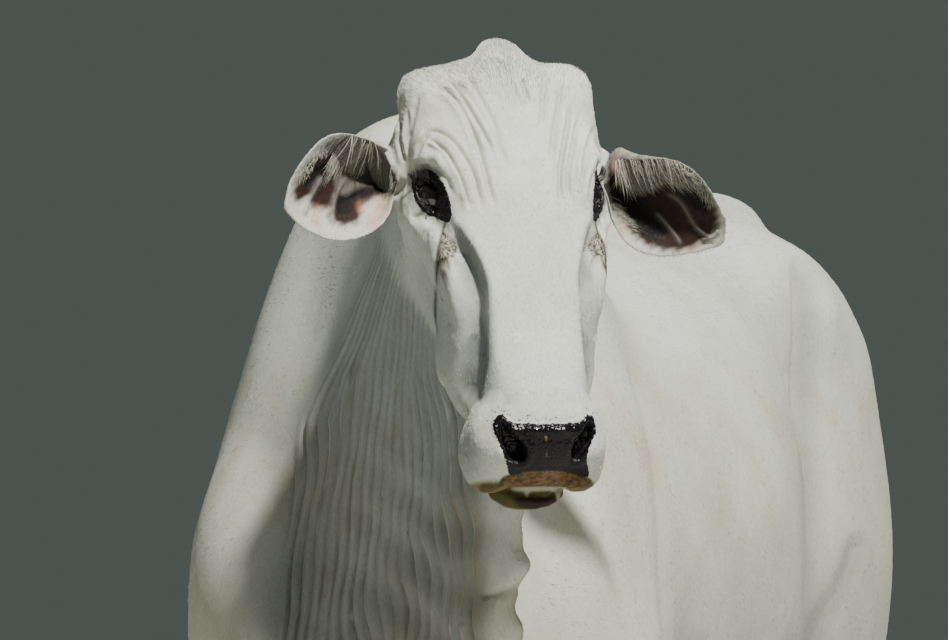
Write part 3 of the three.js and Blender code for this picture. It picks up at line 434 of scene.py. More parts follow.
# %% [markdown]
# ## Marks in the view's own pixels
# Folds, lids and colours of the head are easiest to place by where they are seen. A mark is a line or
# an outline in those pixels, and the skin's points are compared with it there. What both sides of the
# face have, such as eyes, takes the same marks mirrored.


# %% Lines and outlines on the view
def through(line, closed=False, fine=6):
    """A smooth curve through the given corners, as many short steps."""
    c = np.asarray(line, float)
    c = np.vstack([c[-1], c, c[0], c[1]]) if closed else np.vstack([2 * c[0] - c[1], c, 2 * c[-1] - c[-2]])
    t = np.arange(fine)[:, None] / fine
    rows = []
    for p0, p1, p2, p3 in zip(c, c[1:], c[2:], c[3:]):
        rows.append(0.5 * (2 * p1 + (p2 - p0) * t + (2 * p0 - 5 * p1 + 4 * p2 - p3) * t ** 2
                           + (3 * p1 - p0 - 3 * p2 + p3) * t ** 3))
    return np.vstack(rows + [c[-2][None]])


def to_line(q, line):
    """Distance to a curve, and the share of its length at the nearest place."""
    c = through(line)
    best, share = np.full(len(q), 1e9), np.zeros(len(q))
    run = np.concatenate([[0], np.cumsum(np.linalg.norm(np.diff(c, axis=0), axis=1))])
    for i in range(len(c) - 1):
        way = c[i + 1] - c[i]
        t = np.clip(((q - c[i]) @ way) / max(way @ way, 1e-9), 0, 1)
        far = np.linalg.norm(q - c[i] - t[:, None] * way, axis=1)
        better = far < best
        best[better] = far[better]
        share[better] = (run[i] + t[better] * (run[i + 1] - run[i])) / run[-1]
    return best, share


def along(q, line, wide, ends=0.2):
    """1 on a curve, less away from it and toward its ends."""
    far, share = to_line(q, line)
    keep = step(0, ends, share) * step(1, 1 - ends, share)
    return np.exp(-(far / wide) ** 2) * keep


def inside(q, outline):
    """How far inside a closed curve each point is, negative outside."""
    c = through(outline, closed=True)
    best = np.full(len(q), 1e9)
    odd = np.zeros(len(q), bool)
    for a, b in zip(c[:-1], c[1:]):
        way = b - a
        t = np.clip(((q - a) @ way) / max(way @ way, 1e-9), 0, 1)
        best = np.minimum(best, np.linalg.norm(q - a - t[:, None] * way, axis=1))
        if a[1] != b[1]:
            over = (a[1] > q[:, 1]) != (b[1] > q[:, 1])
            odd ^= over & (q[:, 0] < a[0] + (q[:, 1] - a[1]) * way[0] / way[1])
    return np.where(odd, best, -best)


def spot(q, at, wide, high):
    """1 at a place, less away from it."""
    return np.exp(-((q[:, 0] - at[0]) / wide) ** 2 - ((q[:, 1] - at[1]) / high) ** 2)


# %% Outlines and lines of the animal, in pixels of the view
EYE_OPEN = [(416, 185), (424, 180), (434, 182), (442, 190), (447, 202), (449, 214), (442, 214), (433, 212),
            (423, 203)]
LIDS = [(412, 186), (417, 177), (424, 170), (432, 171), (439, 178), (446, 190), (450, 204), (451, 216),
        (448, 222), (443, 221), (436, 217), (427, 214), (418, 204)]
BROW_RIDGE = [(410, 176), (420, 160), (436, 158), (450, 172), (459, 190), (464, 212)]
LID_FOLD = [(412, 180), (421, 169), (434, 169), (446, 180), (455, 200)]
EYE_CORNER_LINE = [(447, 215), (445, 224), (441, 238), (437, 258), (436, 285), (435, 320), (437, 345)]
SPECKLED = [(442, 234), (450, 237), (457, 247), (451, 263), (442, 277), (437, 262)]
BRIDGE_CREST = [(464, 214), (478, 246), (490, 280), (496, 320), (498, 360), (500, 390)]
CHEEK_CREST = [(442, 256), (452, 290), (460, 322), (466, 344)]
CHEEK_TENDONS = [([(450, 326), (454, 343), (462, 341), (470, 328)], 2.6, 2.0),
                 ([(471, 326), (475, 340), (477, 354)], 2.2, 1.6)]
# Outlines on the cheek where shade is painted
PAINTED_CHEEK_SHADOWS = [
    [(456, 228), (462, 224), (478, 255), (490, 285), (487, 296), (477, 292), (466, 276), (460, 250)],
    [(480, 308), (488, 330), (493, 370), (490, 398), (477, 396), (462, 374), (464, 350), (472, 336)]]
PAD = [(498, 415), (504, 415), (509, 421), (520, 423), (545, 424), (570, 423), (581, 421), (587, 415),
       (593, 417), (596, 430), (592, 441), (588, 452), (587, 464), (589, 474), (582, 478), (545, 479),
       (516, 479), (510, 475), (506, 463), (502, 450), (496, 437), (493, 425)]
PAD_WINGS = [[(503, 458), (514, 463), (527, 462)], [(571, 459), (577, 461), (583, 456)]]
HOLE_RIGHT = [(499, 424), (504, 424), (512, 434), (522, 442), (527, 451), (524, 460), (515, 460), (507, 452),
              (502, 440)]
HOLE_LEFT = [(588, 423), (592, 426), (590, 438), (584, 449), (576, 459), (571, 457), (573, 446), (580, 434)]
LIP = [(501, 479), (510, 474), (528, 470), (546, 469), (564, 470), (579, 474), (590, 479), (592, 488),
       (575, 489), (546, 489), (515, 489), (499, 488)]
LIP_CORNERS = [[(470, 485), (482, 482), (499, 482), (496, 492), (474, 494)],
               [(586, 480), (594, 483), (605, 486), (602, 496), (588, 493)]]
CHIN = [(482, 486), (515, 485), (545, 484), (572, 484), (592, 486), (584, 502), (570, 513), (545, 519),
        (518, 517), (500, 509), (488, 499)]
CHIN_RED = [(514, 499), (530, 496), (555, 496), (572, 498), (566, 507), (545, 511), (524, 509)]
FOAM = [(512, 488), (530, 487), (556, 487), (566, 488), (565, 490), (561, 492), (558, 502), (554, 492),
        (542, 491), (531, 492), (527, 497), (523, 492), (515, 491)]
SHOULDER_CREASE = [(602, 520), (610, 560), (620, 600), (632, 660)]
FLANK_CREASE = [(862, 530), (850, 570), (836, 600), (818, 640), (800, 690)]
DEWLAP_CREASE = [(478, 596), (496, 594), (512, 589), (524, 586)]


# %% Where each point lies
# Two planes bound the head, behind the poll and below the jaw: a place on each and its way outward
POLL_PLANE = [0, 28, -30], [0, 0.894, -0.447]
JAW_PLANE = [0, -160, -242], [0, -0.289, -0.958]


def regions(mesh):
    """Points and normals, and where they are: body, head, view, mirrored view, and how far off the head."""
    p, n = points(mesh), normals(mesh)
    h = in_head(p)
    q = seen(out_of_head(np.concatenate([-np.abs(h[:, :1]), h[:, 1:]], 1)))
    behind = (h - POLL_PLANE[0]) @ POLL_PLANE[1]
    below = (h - JAW_PLANE[0]) @ JAW_PLANE[1]
    return p, n, in_body(p), h, seen(p), q, np.maximum(behind, below), n @ BACK


def eye_depth(h):
    """Distance from the nearer eyeball's middle, in millimetres."""
    return np.linalg.norm(np.abs(h) * [1, 0, 0] + h * [0, 1, 1] - EYE_AT, axis=1)


def pleat_share(px):
    """0 on the left edge of the neck's pleated side as seen, 1 on its right edge."""
    left = np.interp(px[:, 1], [180, 262, 333, 420, 506, 592, 660], [388, 374, 346, 303, 290, 283, 280])
    right = np.interp(px[:, 1], [180, 262, 333, 377, 420, 477, 549, 660],
                      [424, 436, 440, 446, 462, 470, 474, 476])
    return (px[:, 0] - left) / (right - left)


PLEATS = 17


def pleat_count(px, share):
    """Which pleat a point is on: whole at the ridges, halfway between them in the valleys."""
    bend = 0.35 * np.sin(px[:, 1] / 47 + 5 * share) + 0.2 * np.sin(px[:, 1] / 21 + 11 * share)
    return PLEATS * share + bend


def left_of_bridge(q):
    """Pixels to the left of the bridge's edge, on either side of the face."""
    edge = np.interp(q[:, 1], [205, 222, 244, 266, 285, 310, 360, 390],
                     [447, 457, 471, 483, 488, 489, 488, 483])
    return edge - q[:, 0]


def behind_barrel(qb):
    """Pixels to the right of the barrel's widest place, where the flank sinks in behind it."""
    return qb[:, 0] - np.interp(qb[:, 1], [250, 330, 420, 640], [790, 797, 799, 801])


print(len(PAD), "corners round the nose pad,", PLEATS, "pleats on the neck")


# %% [markdown]
# ## Smooth trunk, fine face
# The CAD trunk has flat facets as long as a hand, which relaxing melts away. The head has small
# ones and keeps its shape: its cells are cut finer and drawn back onto the CAD surface, which the
# coarse cells had rounded off.

# %% Relaxed
p, n, b, h, px, q, off, facing = regions(skin.data)
# Coarser cells reach as far in fewer passes
pace = (0.0034 / CELL) ** 2
off_head = step(-40, 10, off)
on_tail = step(1290, 1305, b[:, 1])
by_tail = step(1180, 1290, b[:, 1]) * step(1230, 1150, b[:, 2])
trunk = step(-430, -250, b[:, 1]) * step(560, 680, b[:, 2]) * (1 - by_tail)
p = relaxed(skin.data, p, trunk, 150 * pace)
p = relaxed(skin.data, p, off_head * (1 - 0.8 * on_tail), 36 * pace)
p = relaxed(skin.data, p, np.full(len(p), 0.6), 1)
move_to(skin.data, p)
print("relaxed", int(150 * pace), "times on the trunk,", int(36 * pace), "elsewhere")

# %% Cut finer where folds, eyes and nose come
for finer in range(2):
    p, n, b, h, px, q, off, facing = regions(skin.data)
    share = pleat_share(px)
    head = (off < 15) & (h[:, 1] < 70) & (np.abs(h[:, 0]) < 135)
    muzzle = head & (h[:, 1] < -385)
    by_eye = head & (eye_depth(h) < 52)
    folds = (share > -0.06) & (share < 1.06) & (facing > 0.15) & (px[:, 1] > 185)
    folds &= ~head & (b[:, 1] < 150)
    thin = (b[:, 1] > 1280) | ((b[:, 1] < -330) & (b[:, 2] < 1150) & ~head)
    brow = head & (h[:, 1] > -255) & (facing > 0.1) & (h[:, 1] < 10)
    muzzle &= facing > -0.3
    refine(skin, (head | folds | thin) if finer == 0 else (muzzle | by_eye | folds | brow))
p, n, b, h, px, q, off, facing = regions(skin.data)
refine(skin, (eye_depth(h) < 33) & (off < 0) & (h[:, 2] > -85))
print("cut finer:", len(skin.data.vertices), "points")

# %% Drawn back onto the CAD's head
shell = welded(HEAD_PARTS + ["neck", "eye_left", "eye_right"], MEET)
shell_tree = BVHTree.FromPolygons([v.co for v in shell.vertices], [f.vertices for f in shell.polygons])
p, n, b, h, px, q, off, facing = regions(skin.data)
holes = np.zeros(len(p), bool)
front = np.nonzero((h[:, 1] < -395) & (facing > -0.3))[0]
holes[front] = np.maximum(inside(px[front], HOLE_RIGHT), inside(px[front], HOLE_LEFT)) > -7
draw = (off < 0) & (h[:, 1] < 60) & ~holes & (eye_depth(h) > 30)
for i in np.nonzero(draw)[0]:
    way = Vector(n[i])
    hit, hit_normal = shell_tree.ray_cast(Vector(p[i]) + way * 0.008, -way, 0.016)[:2]
    if hit is not None and hit_normal.dot(way) > 0.3:
        p[i] = hit
p = relaxed(skin.data, p, holes.astype(float), 60)
p = relaxed(skin.data, p, (off < 0) * 1.0, 7)
# The hollow of the cheek and the pouch beside the eye take more smoothing
jowl = step(436, 446, q[:, 0]) * step(498, 488, q[:, 0]) * step(312, 326, q[:, 1]) * step(368, 354, q[:, 1])
pouch = step(430, 424, q[:, 0]) * step(224, 230, q[:, 1]) * step(275, 262, q[:, 1]) * (h[:, 2] < -30)
p = relaxed(skin.data, p, (off < 0) * np.maximum(jowl, pouch), 70)
move_to(skin.data, p)
print("skin refined:", len(skin.data.vertices), "points")

# %% [markdown]
# ## Folds, lids and lips
# A Brahman's skin is loose: it pleats down the neck, wrinkles over the brow and hangs in a rimmed
# dewlap. Each fold is a narrow valley or a soft ridge, made by moving the skin's points along their
# normals. The pleats are one formula across the neck, not a drawn line for each.

# %% Wrinkles of the brow
# Each is a line on the view, its width in pixels and its depth in millimetres
BROW = [
    ([(443, 76), (456, 88), (467, 104), (477, 121), (487, 139), (495, 158)], 2.6, 3.6),
    ([(425, 95), (444, 90), (458, 102), (468, 119), (476, 140), (484, 165), (490, 190),
      (497, 214)], 2.8, 3.2),
    ([(461, 66), (472, 84), (484, 104), (494, 124), (502, 146)], 3.0, 1.8),
    ([(417, 160), (421, 142), (429, 132), (442, 133), (455, 142), (465, 156), (474, 175), (479, 196),
      (483, 214)], 2.4, 3.4),
    ([(423, 146), (431, 141), (441, 146), (450, 156), (458, 170), (464, 184), (467, 198),
      (471, 212)], 2.0, 4.4),
    ([(522, 78), (526, 92), (530, 104)], 2.6, 2.6),
    ([(549, 64), (545, 80), (543, 104), (541, 130)], 3.0, 2.4),
    ([(561, 78), (559, 104), (554, 134), (551, 165)], 3.0, 2.4),
    ([(571, 100), (568, 124), (562, 156), (560, 180), (562, 210)], 2.4, 3.2),
    ([(580, 112), (574, 140), (568, 174), (570, 206)], 2.4, 2.8),
    ([(596, 124), (589, 142), (584, 162), (582, 184)], 2.2, 2.8),
    ([(402, 112), (400, 135), (405, 165)], 2.0, 2.2),
    ([(409, 108), (407, 135), (410, 160)], 2.0, 2.0),
    ([(441, 73), (468, 94), (488, 124), (503, 154), (512, 178)], 3.0, 1.5),
    ([(419, 92), (414, 114), (407, 144)], 2.4, 1.8),
    ([(592, 146), (583, 178), (578, 203)], 2.4, 1.8),
    ([(508, 70), (512, 92), (514, 116)], 4.0, 1.2),
    ([(534, 150), (536, 180), (534, 206)], 4.0, 1.0),
]
print(len(BROW), "wrinkles")


# %% Lids round the eyeballs
BALL = float(np.ptp(np.array(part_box("eye_left")), axis=0).max()) * 500


def shape_eyes(h, e):
    """The skin around each eyeball: lids that lie on the ball, and a pit behind the opening."""
    side = np.where(h[:, :1] < 0, -1.0, 1.0)
    own = h * np.concatenate([side, np.ones((len(h), 2))], 1) - EYE_AT
    r = np.linalg.norm(own, axis=1)
    near = r < BALL + 16
    lid = BALL + 1.6 + 1.8 * np.exp(-((e + 2.6) / 2.2) ** 2)
    out = np.maximum(r, lid)
    shaped = out + (BALL - 7 - out) * step(-0.9, 0.9, e)
    shaped = r + (shaped - r) * step(BALL + 16, BALL + 9, r)
    own = own * (np.where(near, shaped, r) / np.maximum(r, 1e-6))[:, None] + EYE_AT
    return own * np.concatenate([side, np.ones((len(h), 2))], 1)


# %% Folds of the face
def fold_face(dh, ph, qh, hh, front):
    """Adds to dh how far each point of the head moves out, in millimetres."""
    # Poll: a rounded knob between lower shoulders
    dh -= 6.0 * spot(ph, (425, 66), 20, 16)
    dh -= 8.0 * spot(ph, (464, 48), 15, 13) * step(-60, 10, hh[:, 1])
    dh -= 6.0 * spot(ph, (536, 46), 15, 13) * step(-60, 10, hh[:, 1])
    dh -= 3.0 * spot(ph, (560, 54), 14, 11) * step(-60, 10, hh[:, 1])
    # Bridge of the nose: crisp edges, with a hollow down each side
    edge = left_of_bridge(qh)
    fall = np.interp(qh[:, 1], [212, 250, 290, 330, 385, 408], [0, 15, 15, 13, 11, 0])
    dh -= fall * step(-2, 9, edge) * step(36, 14, edge) * front
    dh += 3.5 * along(qh, BRIDGE_CREST, 8) * front
    dh += 2.5 * along(qh, CHEEK_CREST, 8) * front
    for line, wide, high in CHEEK_TENDONS:
        dh += high * along(qh, line, wide, 0.1) * front
    # Brow ridge, upper lid fold and inner corner
    dh += 4.0 * along(qh, BROW_RIDGE, 6) * front
    dh -= 3.0 * along(qh, LID_FOLD, 3) * front
    dh -= 2.0 * along(qh, EYE_CORNER_LINE, 2.4) * front
    for line, wide, deep in BROW:
        dh -= 1.5 * deep * along(ph, line, wide) * front
        dh += 0.7 * deep * along(ph + [wide * 2.0, -wide * 0.6], line, wide * 1.3) * front


# %% The nose pad, the nostrils and the lips
def fold_nose(dh, ph, hh, front):
    """The same for the muzzle: rims of the nostrils, edge of the pad, lip and line of the mouth."""
    low = step(-380, -400, hh[:, 1])
    for hole in (HOLE_RIGHT, HOLE_LEFT):
        deep = inside(ph, hole)
        dh += 2.2 * np.exp(-((deep + 4.0) / 3.0) ** 2) * low * front
        dh -= 9.0 * step(-1, 4, deep) * low * front
    dh += 2.2 * step(-4, 11, inside(ph, PAD)) * step(440, 424, ph[:, 1]) * low * front
    dh -= 1.2 * spot(ph, (547, 452), 3.2, 22) * low * front
    across = step(506, 522, ph[:, 0]) * step(586, 572, ph[:, 0])
    dh += (1.5 * across + 2.2 * spot(ph, (537, 430), 8, 30) + 2.2 * spot(ph, (563, 430), 8, 30)) \
        * np.exp(-((ph[:, 1] - 431) / 6.0) ** 2) * low * front
    dh += 1.6 * step(-2, 6, inside(ph, LIP)) * low * front
    mouth = np.exp(-((hh[:, 2] + 107 + 2.5 * np.sin(hh[:, 0] / 19)) / 3.0) ** 2)
    dh -= 3.6 * mouth * step(-330, -350, hh[:, 1])


# %% Pleats of the neck
def fold_neck(d, n, b, px, off, facing):
    """Pleats on the seen side, finer toward the ear, and fewer, deeper folds inside the bend."""
    share = pleat_share(px)
    on_neck = step(-24, 6, off) * step(0.12, 0.4, facing) * step(196, 232, px[:, 1]) * step(150, 60, b[:, 1])
    on_neck *= step(-0.04, 0.05, share) * step(1.05, 0.97, share)
    count = pleat_count(px, share)
    which = np.round(count)
    ridge = np.abs(count - which) * 2
    own = 0.6 + 0.4 * np.sin(7.3 * which + 1) + 0.25 * np.sin(px[:, 1] / 33 + 3 * which)
    deep = np.interp(px[:, 1], [200, 300, 450, 640], [2.0, 4.0, 5.6, 6.0])
    valley = on_neck * np.exp(-((1 - ridge) / 0.4) ** 2) * own
    d += deep * (0.5 * on_neck * own * (1 - ridge) - valley)
    far = step(-24, 6, off) * step(0.15, 0.5, n @ (HEAD[0] * 0.9 - BACK * 0.1)) * step(-330, -420, b[:, 1])
    far *= step(1420, 1330, b[:, 2])
    wave = b[:, 1] / 27 + 0.5 * np.sin(b[:, 2] / 90) + 0.3 * np.sin(b[:, 2] / 37 + 2)
    d += 2.4 * far * (np.abs(np.sin(wave * 1.9)) ** 0.7 - 0.6)


# %% Creases and muscles of the trunk
def fold_trunk(d, b, px, off, facing):
    """Creases behind the shoulder, before the flank and on the dewlap, ribs, and the larger muscles."""
    qb = both_flanks(b)
    trunk = step(-20, 40, off) * step(520, 620, b[:, 2])
    d -= 4.0 * trunk * along(qb, SHOULDER_CREASE, 5, 0.1) * step(-0.2, 0.2, facing)
    d -= 7.0 * trunk * along(qb, FLANK_CREASE, 9, 0.1)
    ribs = np.sin(b[:, 1] / 29 + 0.6 * np.sin(b[:, 2] / 120))
    d += 1.3 * trunk * ribs * step(60, 200, b[:, 1]) * step(760, 640, b[:, 1]) \
        * step(1150, 1050, b[:, 2]) * step(700, 800, b[:, 2])
    behind = behind_barrel(qb)
    d -= 9.0 * trunk * step(-4, 5, behind) * step(36, 12, behind) * step(240, 290, qb[:, 1]) \
        * step(0, 0.3, facing)
    # Shoulder blade, upper arm, elbow, the hollow before the hip, the hip bone and the stifle
    flat = b[:, 1:]
    broad = trunk * step(90, 160, np.abs(b[:, 0]))
    d -= 6.0 * broad * along(flat, [(80, 1200), (45, 1060), (15, 920), (5, 800)], 28, 0.15)
    d += 6.0 * broad * spot(flat, (-70, 850), 70, 110)
    d -= 6.0 * broad * along(flat, [(30, 810), (55, 740), (75, 670)], 14, 0.1)
    d -= 11.0 * broad * spot(flat, (765, 1140), 85, 75)
    d += 9.0 * broad * spot(flat, (905, 1215), 45, 42)
    d += 6.0 * broad * spot(flat, (890, 745), 60, 75)
    hang = step(-40, 20, off) * step(1150, 1020, b[:, 2]) * step(-300, -360, b[:, 1])
    hang = hang * step(560, 640, b[:, 2])
    d += 2.0 * hang * np.sin(b[:, 2] / 11 + 1.4 * np.sin(b[:, 1] / 37) + b[:, 0] / 30)
    d -= 4.0 * hang * along(px, DEWLAP_CREASE, 3.5, 0.1)


# %% Folds pressed into the skin
def press_folds(made):
    p, n, b, h, px, q, off, facing = regions(made.data)
    d = np.zeros(len(p))
    head = np.nonzero((off < 20) & (h[:, 1] < 90))[0]
    dh = np.zeros(len(head))
    front = step(-0.05, 0.2, facing[head])
    fold_face(dh, px[head], q[head], h[head], front)
    fold_nose(dh, px[head], h[head], front)
    d[head] += dh
    fold_neck(d, n, b, px, off, facing)
    fold_trunk(d, b, px, off, facing)
    p = p + n * d[:, None] / 1000
    # The dewlap's hanging edge waves to and fro
    free = step(492, 512, px[:, 0]) * step(500, 530, px[:, 1]) * step(20, 60, off)
    free = free * step(-340, -400, b[:, 1])
    wave = 5.0 * np.sin(px[:, 1] / 15 + 2) + 3.0 * np.sin(px[:, 1] / 6.1) * np.sin(px[:, 1] / 25 + 1)
    p = p + (free * wave)[:, None] * RIGHT / 1000
    h = in_head(p)
    near = np.nonzero((eye_depth(h) < BALL + 18) & (h[:, 2] > -85))[0]
    p[near] = out_of_head(shape_eyes(h[near], inside(q[near], EYE_OPEN)))
    move_to(made.data, relaxed(made.data, p, np.full(len(p), 0.5), 1))


press_folds(skin)
print("folds pressed, eyeball radius", round(BALL, 1), "mm")

# %% [markdown]
# ## Fewer triangles where the skin is plain
# The trunk is smooth and can do with long triangles, the face can not. A collapse decimation finds
# the plain places by itself. The face is kept out of it by a vertex group.

# %% Thinned out
MOST_TRIANGLES = 190000
made_of = triangles(skin.data)
if made_of > MOST_TRIANGLES:
    p, n, b, h, px, q, off, facing = regions(skin.data)
    keep = (off < 0) & (((h[:, 1] < -405) & (facing > 0)) | (eye_depth(h) < 34))
    keep |= (off < 0) & (h[:, 1] > -230) & (h[:, 1] < 0) & (facing > 0.25)
    group = skin.vertex_groups.new(name="spare")
    group.add(np.nonzero(~keep)[0].tolist(), 1.0, "REPLACE")
    m = skin.modifiers.new("thin", "DECIMATE")
    m.ratio = MOST_TRIANGLES / made_of
    m.vertex_group = "spare"
    m.use_collapse_triangulate = True
    applied(skin)
print("skin triangles", made_of, "thinned to", triangles(skin.data))

# %% [markdown]
# ## Colours of the skin
# The coat is white over slate-grey skin. Lids, nose and the ears' inside are bare and black, the lips
# are stained brown and yellow from grazing. Shade is painted into the colour as well: over the neck's
# pleats, in the brow's wrinkles and the flank's creases, behind the barrel, on the cheek and on the
# muzzle's left side. Each colour is a mask on the skin's points, which the material and the hair both
# read. Edges of bare skin are left soft, and the material breaks them up.

# %% The colours
WHITE = np.array([0.560, 0.590, 0.530])
CREAM = np.array([0.60, 0.53, 0.38])
# The grey of the skin, also used for painted shade in creases, hollows and on shaded sides
SLATE_SKIN_AND_SHADE = np.array([0.22, 0.24, 0.24])
RUST = np.array([0.06, 0.027, 0.009])
OLIVE = np.array([0.22, 0.17, 0.05])
RED = np.array([0.015, 0.0042, 0.0027])
CUD_GREEN = np.array([0.052, 0.046, 0.0006])
GRASS_STAIN = np.array([0.12, 0.088, 0.003])
FROTH = np.array([0.55, 0.56, 0.44])
DARK = np.array([0.02, 0.017, 0.015])
PAD_SPECK = np.array([0.12, 0.095, 0.045])
PAD_BLUE = np.array([0.10, 0.11, 0.14])
SPECK_TAN = np.array([0.16, 0.12, 0.09])
SPECK_BROWN = np.array([0.045, 0.029, 0.017])
EAR_PINK = np.array([0.48, 0.27, 0.19])
EAR_GREY = np.array([0.16, 0.155, 0.135])
EAR_VEIN = np.array([0.24, 0.22, 0.20])
EAR_BROWN = np.array([0.018, 0.0060, 0.0034])
EAR_BLACK = np.array([0.003, 0.0015, 0.0012])
EYE_BLACK = np.array([0.005, 0.0035, 0.003])
EYE_BROWN = np.array([0.012, 0.006, 0.003])
BARE, STAINED, WET = 0, 1, 2


def layer(colours, share, over):
    """The colours with another laid over them, by a share from 0 to 1 at each point."""
    return colours + (over - colours) * np.clip(share, 0, 1)[:, None]


def raised(marks, kind, share):
    """Raises one of the marks to the share, wherever it is lower."""
    marks[:, kind] = np.maximum(marks[:, kind], share)


def attribute(mesh, name, values):
    data = mesh.color_attributes.new(name, "FLOAT_COLOR", "POINT")
    values = np.concatenate([values, np.ones((len(values), 1))], 1)
    data.data.foreach_set("color", values.astype(np.float32).ravel())


print("hair is", WHITE, "and skin under it", SLATE_SKIN_AND_SHADE)


# %% Trunk, legs and neck
def paint_trunk(c, b, off, patch):
    """Cream shoulder streaks, grey below, darker legs, and painted shade in the flank crease and behind the
    barrel.
    """
    qb = both_flanks(b)
    streak = np.sin((qb[:, 0] * 0.86 - qb[:, 1] * 0.5) / 7 + 1.5 * np.sin(qb[:, 1] / 40)) * 0.5 + 0.5
    trunk = step(0, 60, off) * step(-420, -250, b[:, 1])
    streaked = 0.6 * trunk * streak ** 2 * step(340, 400, qb[:, 1]) * step(620, 460, qb[:, 1])
    c = layer(c, streaked, CREAM * 0.85)
    c = layer(c, 0.14 * trunk * step(0.1, 0.9, patch), SLATE_SKIN_AND_SHADE)
    c = layer(c, (0.10 + 0.12 * step(0, 0.8, patch)) * step(1060, 800, b[:, 2]) * trunk, SLATE_SKIN_AND_SHADE)
    c = layer(c, 0.35 * step(1150, 850, b[:, 2]), CREAM * 0.9)
    c = layer(c, 0.20 * step(560, 250, b[:, 2]) + 0.3 * step(170, 60, b[:, 2]), SLATE_SKIN_AND_SHADE)
    # Painted shade along the flank's crease
    c = layer(c, 0.5 * along(qb, FLANK_CREASE, 16, 0.1) * trunk, SLATE_SKIN_AND_SHADE)
    behind = behind_barrel(qb)
    # Painted shade where the flank sinks in behind the barrel
    shade_behind_barrel = 0.4 * trunk * step(-3, 3, behind) * step(34, 6, behind) * step(250, 290, qb[:, 1])
    return layer(c, shade_behind_barrel, SLATE_SKIN_AND_SHADE)


def paint_neck(c, b, px, off, facing):
    """The neck's pleated side is grey skin darkened with painted shade, most in the pleats' valleys."""
    share = pleat_share(px)
    neck = step(-20, 10, off) * step(200, 250, px[:, 1]) * step(150, 60, b[:, 1]) * step(0, 0.3, facing)
    # Grey skin and painted shade over the pleated side
    c = layer(c, 0.72 * neck * step(-0.25, 0.05, share) * step(1.12, 1.0, share), SLATE_SKIN_AND_SHADE)
    count = pleat_count(px, share)
    valley = np.exp(-((1 - np.abs(count - np.round(count)) * 2) / 0.35) ** 2)
    valley *= step(-0.04, 0.05, share) * step(1.05, 0.97, share)
    # Painted shade in the valleys of the pleats
    return layer(c, 0.45 * neck * valley, CREAM * 0.35)


# %% The face
def paint_face(c, marks, ph, qh, hh, front, patch):
    """Painted shade in wrinkles, hollow and cheek, black lids, a dark line below the eye and the speckled
    skin beside it.
    """
    # Painted shade along the brow's wrinkles
    for line, wide, deep in BROW:
        c = layer(c, 0.13 * deep * along(ph, line, wide * 0.8) * front, CREAM * 0.45)
    c = layer(c, 0.25 * step(-60, 20, hh[:, 1]) * step(0.2, 0.8, patch), CREAM)
    # Grey skin and painted shade in the hollow beside the bridge
    edge = left_of_bridge(qh)
    hollow = step(-2, 3, edge) * step(32, 6, edge) * step(216, 250, qh[:, 1]) * step(408, 385, qh[:, 1])
    c = layer(c, 0.5 * hollow * front, SLATE_SKIN_AND_SHADE)
    # Painted shadows on the cheek
    for shade in PAINTED_CHEEK_SHADOWS:
        c = layer(c, 0.75 * step(-4, 4, inside(qh, shade)) * front, SLATE_SKIN_AND_SHADE * 0.8)
    c = layer(c, 0.6 * spot(qh, (455, 357), 4, 4) * front, OLIVE * 0.5)
    # Painted shade over the cheek
    c = layer(c, 0.42 * spot(qh, (457, 330), 22, 62) * front, SLATE_SKIN_AND_SHADE)
    near_eye = (hh[:, 2] > -80) & (hh[:, 1] > -290)
    lids = inside(qh, LIDS)
    c = layer(c, 0.55 * step(-9, 0, lids) * near_eye, SLATE_SKIN_AND_SHADE * 0.7)
    raised(marks, BARE, step(-3.0, 3.0, lids + 0.4) * near_eye)
    # Dark line from the eye's inner corner: a tear stain by the eye, painted crease shade by the neck below
    c = layer(c, 0.9 * along(qh, EYE_CORNER_LINE, 1.7, 0.1) * front * (hh[:, 2] > -140), DARK * 0.6)
    raised(marks, WET, step(-4, 0, inside(qh, EYE_OPEN)) * near_eye)
    speck = step(-2, 1, inside(qh, SPECKLED)) * near_eye
    flecks = np.sin(qh[:, 0] * 2.9 + 1.4 * np.sin(qh[:, 1] * 1.1))
    flecks *= np.sin(qh[:, 1] * 2.3 + np.sin(qh[:, 0] * 1.7))
    c = layer(c, 0.35 * speck, SPECK_TAN)
    return layer(c, speck * step(-0.45, 0.25, flecks), SPECK_BROWN)


# %% The nose pad
def paint_nose(c, marks, ph, low, front):
    """Black and wet, with a soft hairy edge, blue-grey wings under the nostrils and pale specks; painted
    shade on its left.
    """
    pad = inside(ph, PAD)
    c = layer(c, 0.35 * step(-16, -2, pad) * low * step(452, 425, ph[:, 1]), SLATE_SKIN_AND_SHADE)
    raised(marks, BARE, 0.36 * step(-16, -7, pad) * step(428, 420, ph[:, 1]) * low * front)
    raised(marks, BARE, step(-3.4, 3.4, pad) * low * front)
    raised(marks, WET, step(-1, 1.5, pad) * step(474, 446, ph[:, 1]) * low * front)
    wing = np.maximum(*[along(ph, line, 2.2) for line in PAD_WINGS])
    dots = np.maximum(spot(ph, (548, 456), 10, 13) * 0.42, spot(ph, (546, 438), 3, 5) * 0.55)
    marks[:, BARE] *= 1 - np.maximum(dots, 0.5 * wing * low)
    c = layer(c, dots * 2 * low, PAD_SPECK)
    c = layer(c, wing * low, PAD_BLUE)
    # Painted shade on the muzzle's left side
    return layer(c, 0.5 * spot(ph, (468, 452), 13, 30) * low, SLATE_SKIN_AND_SHADE)


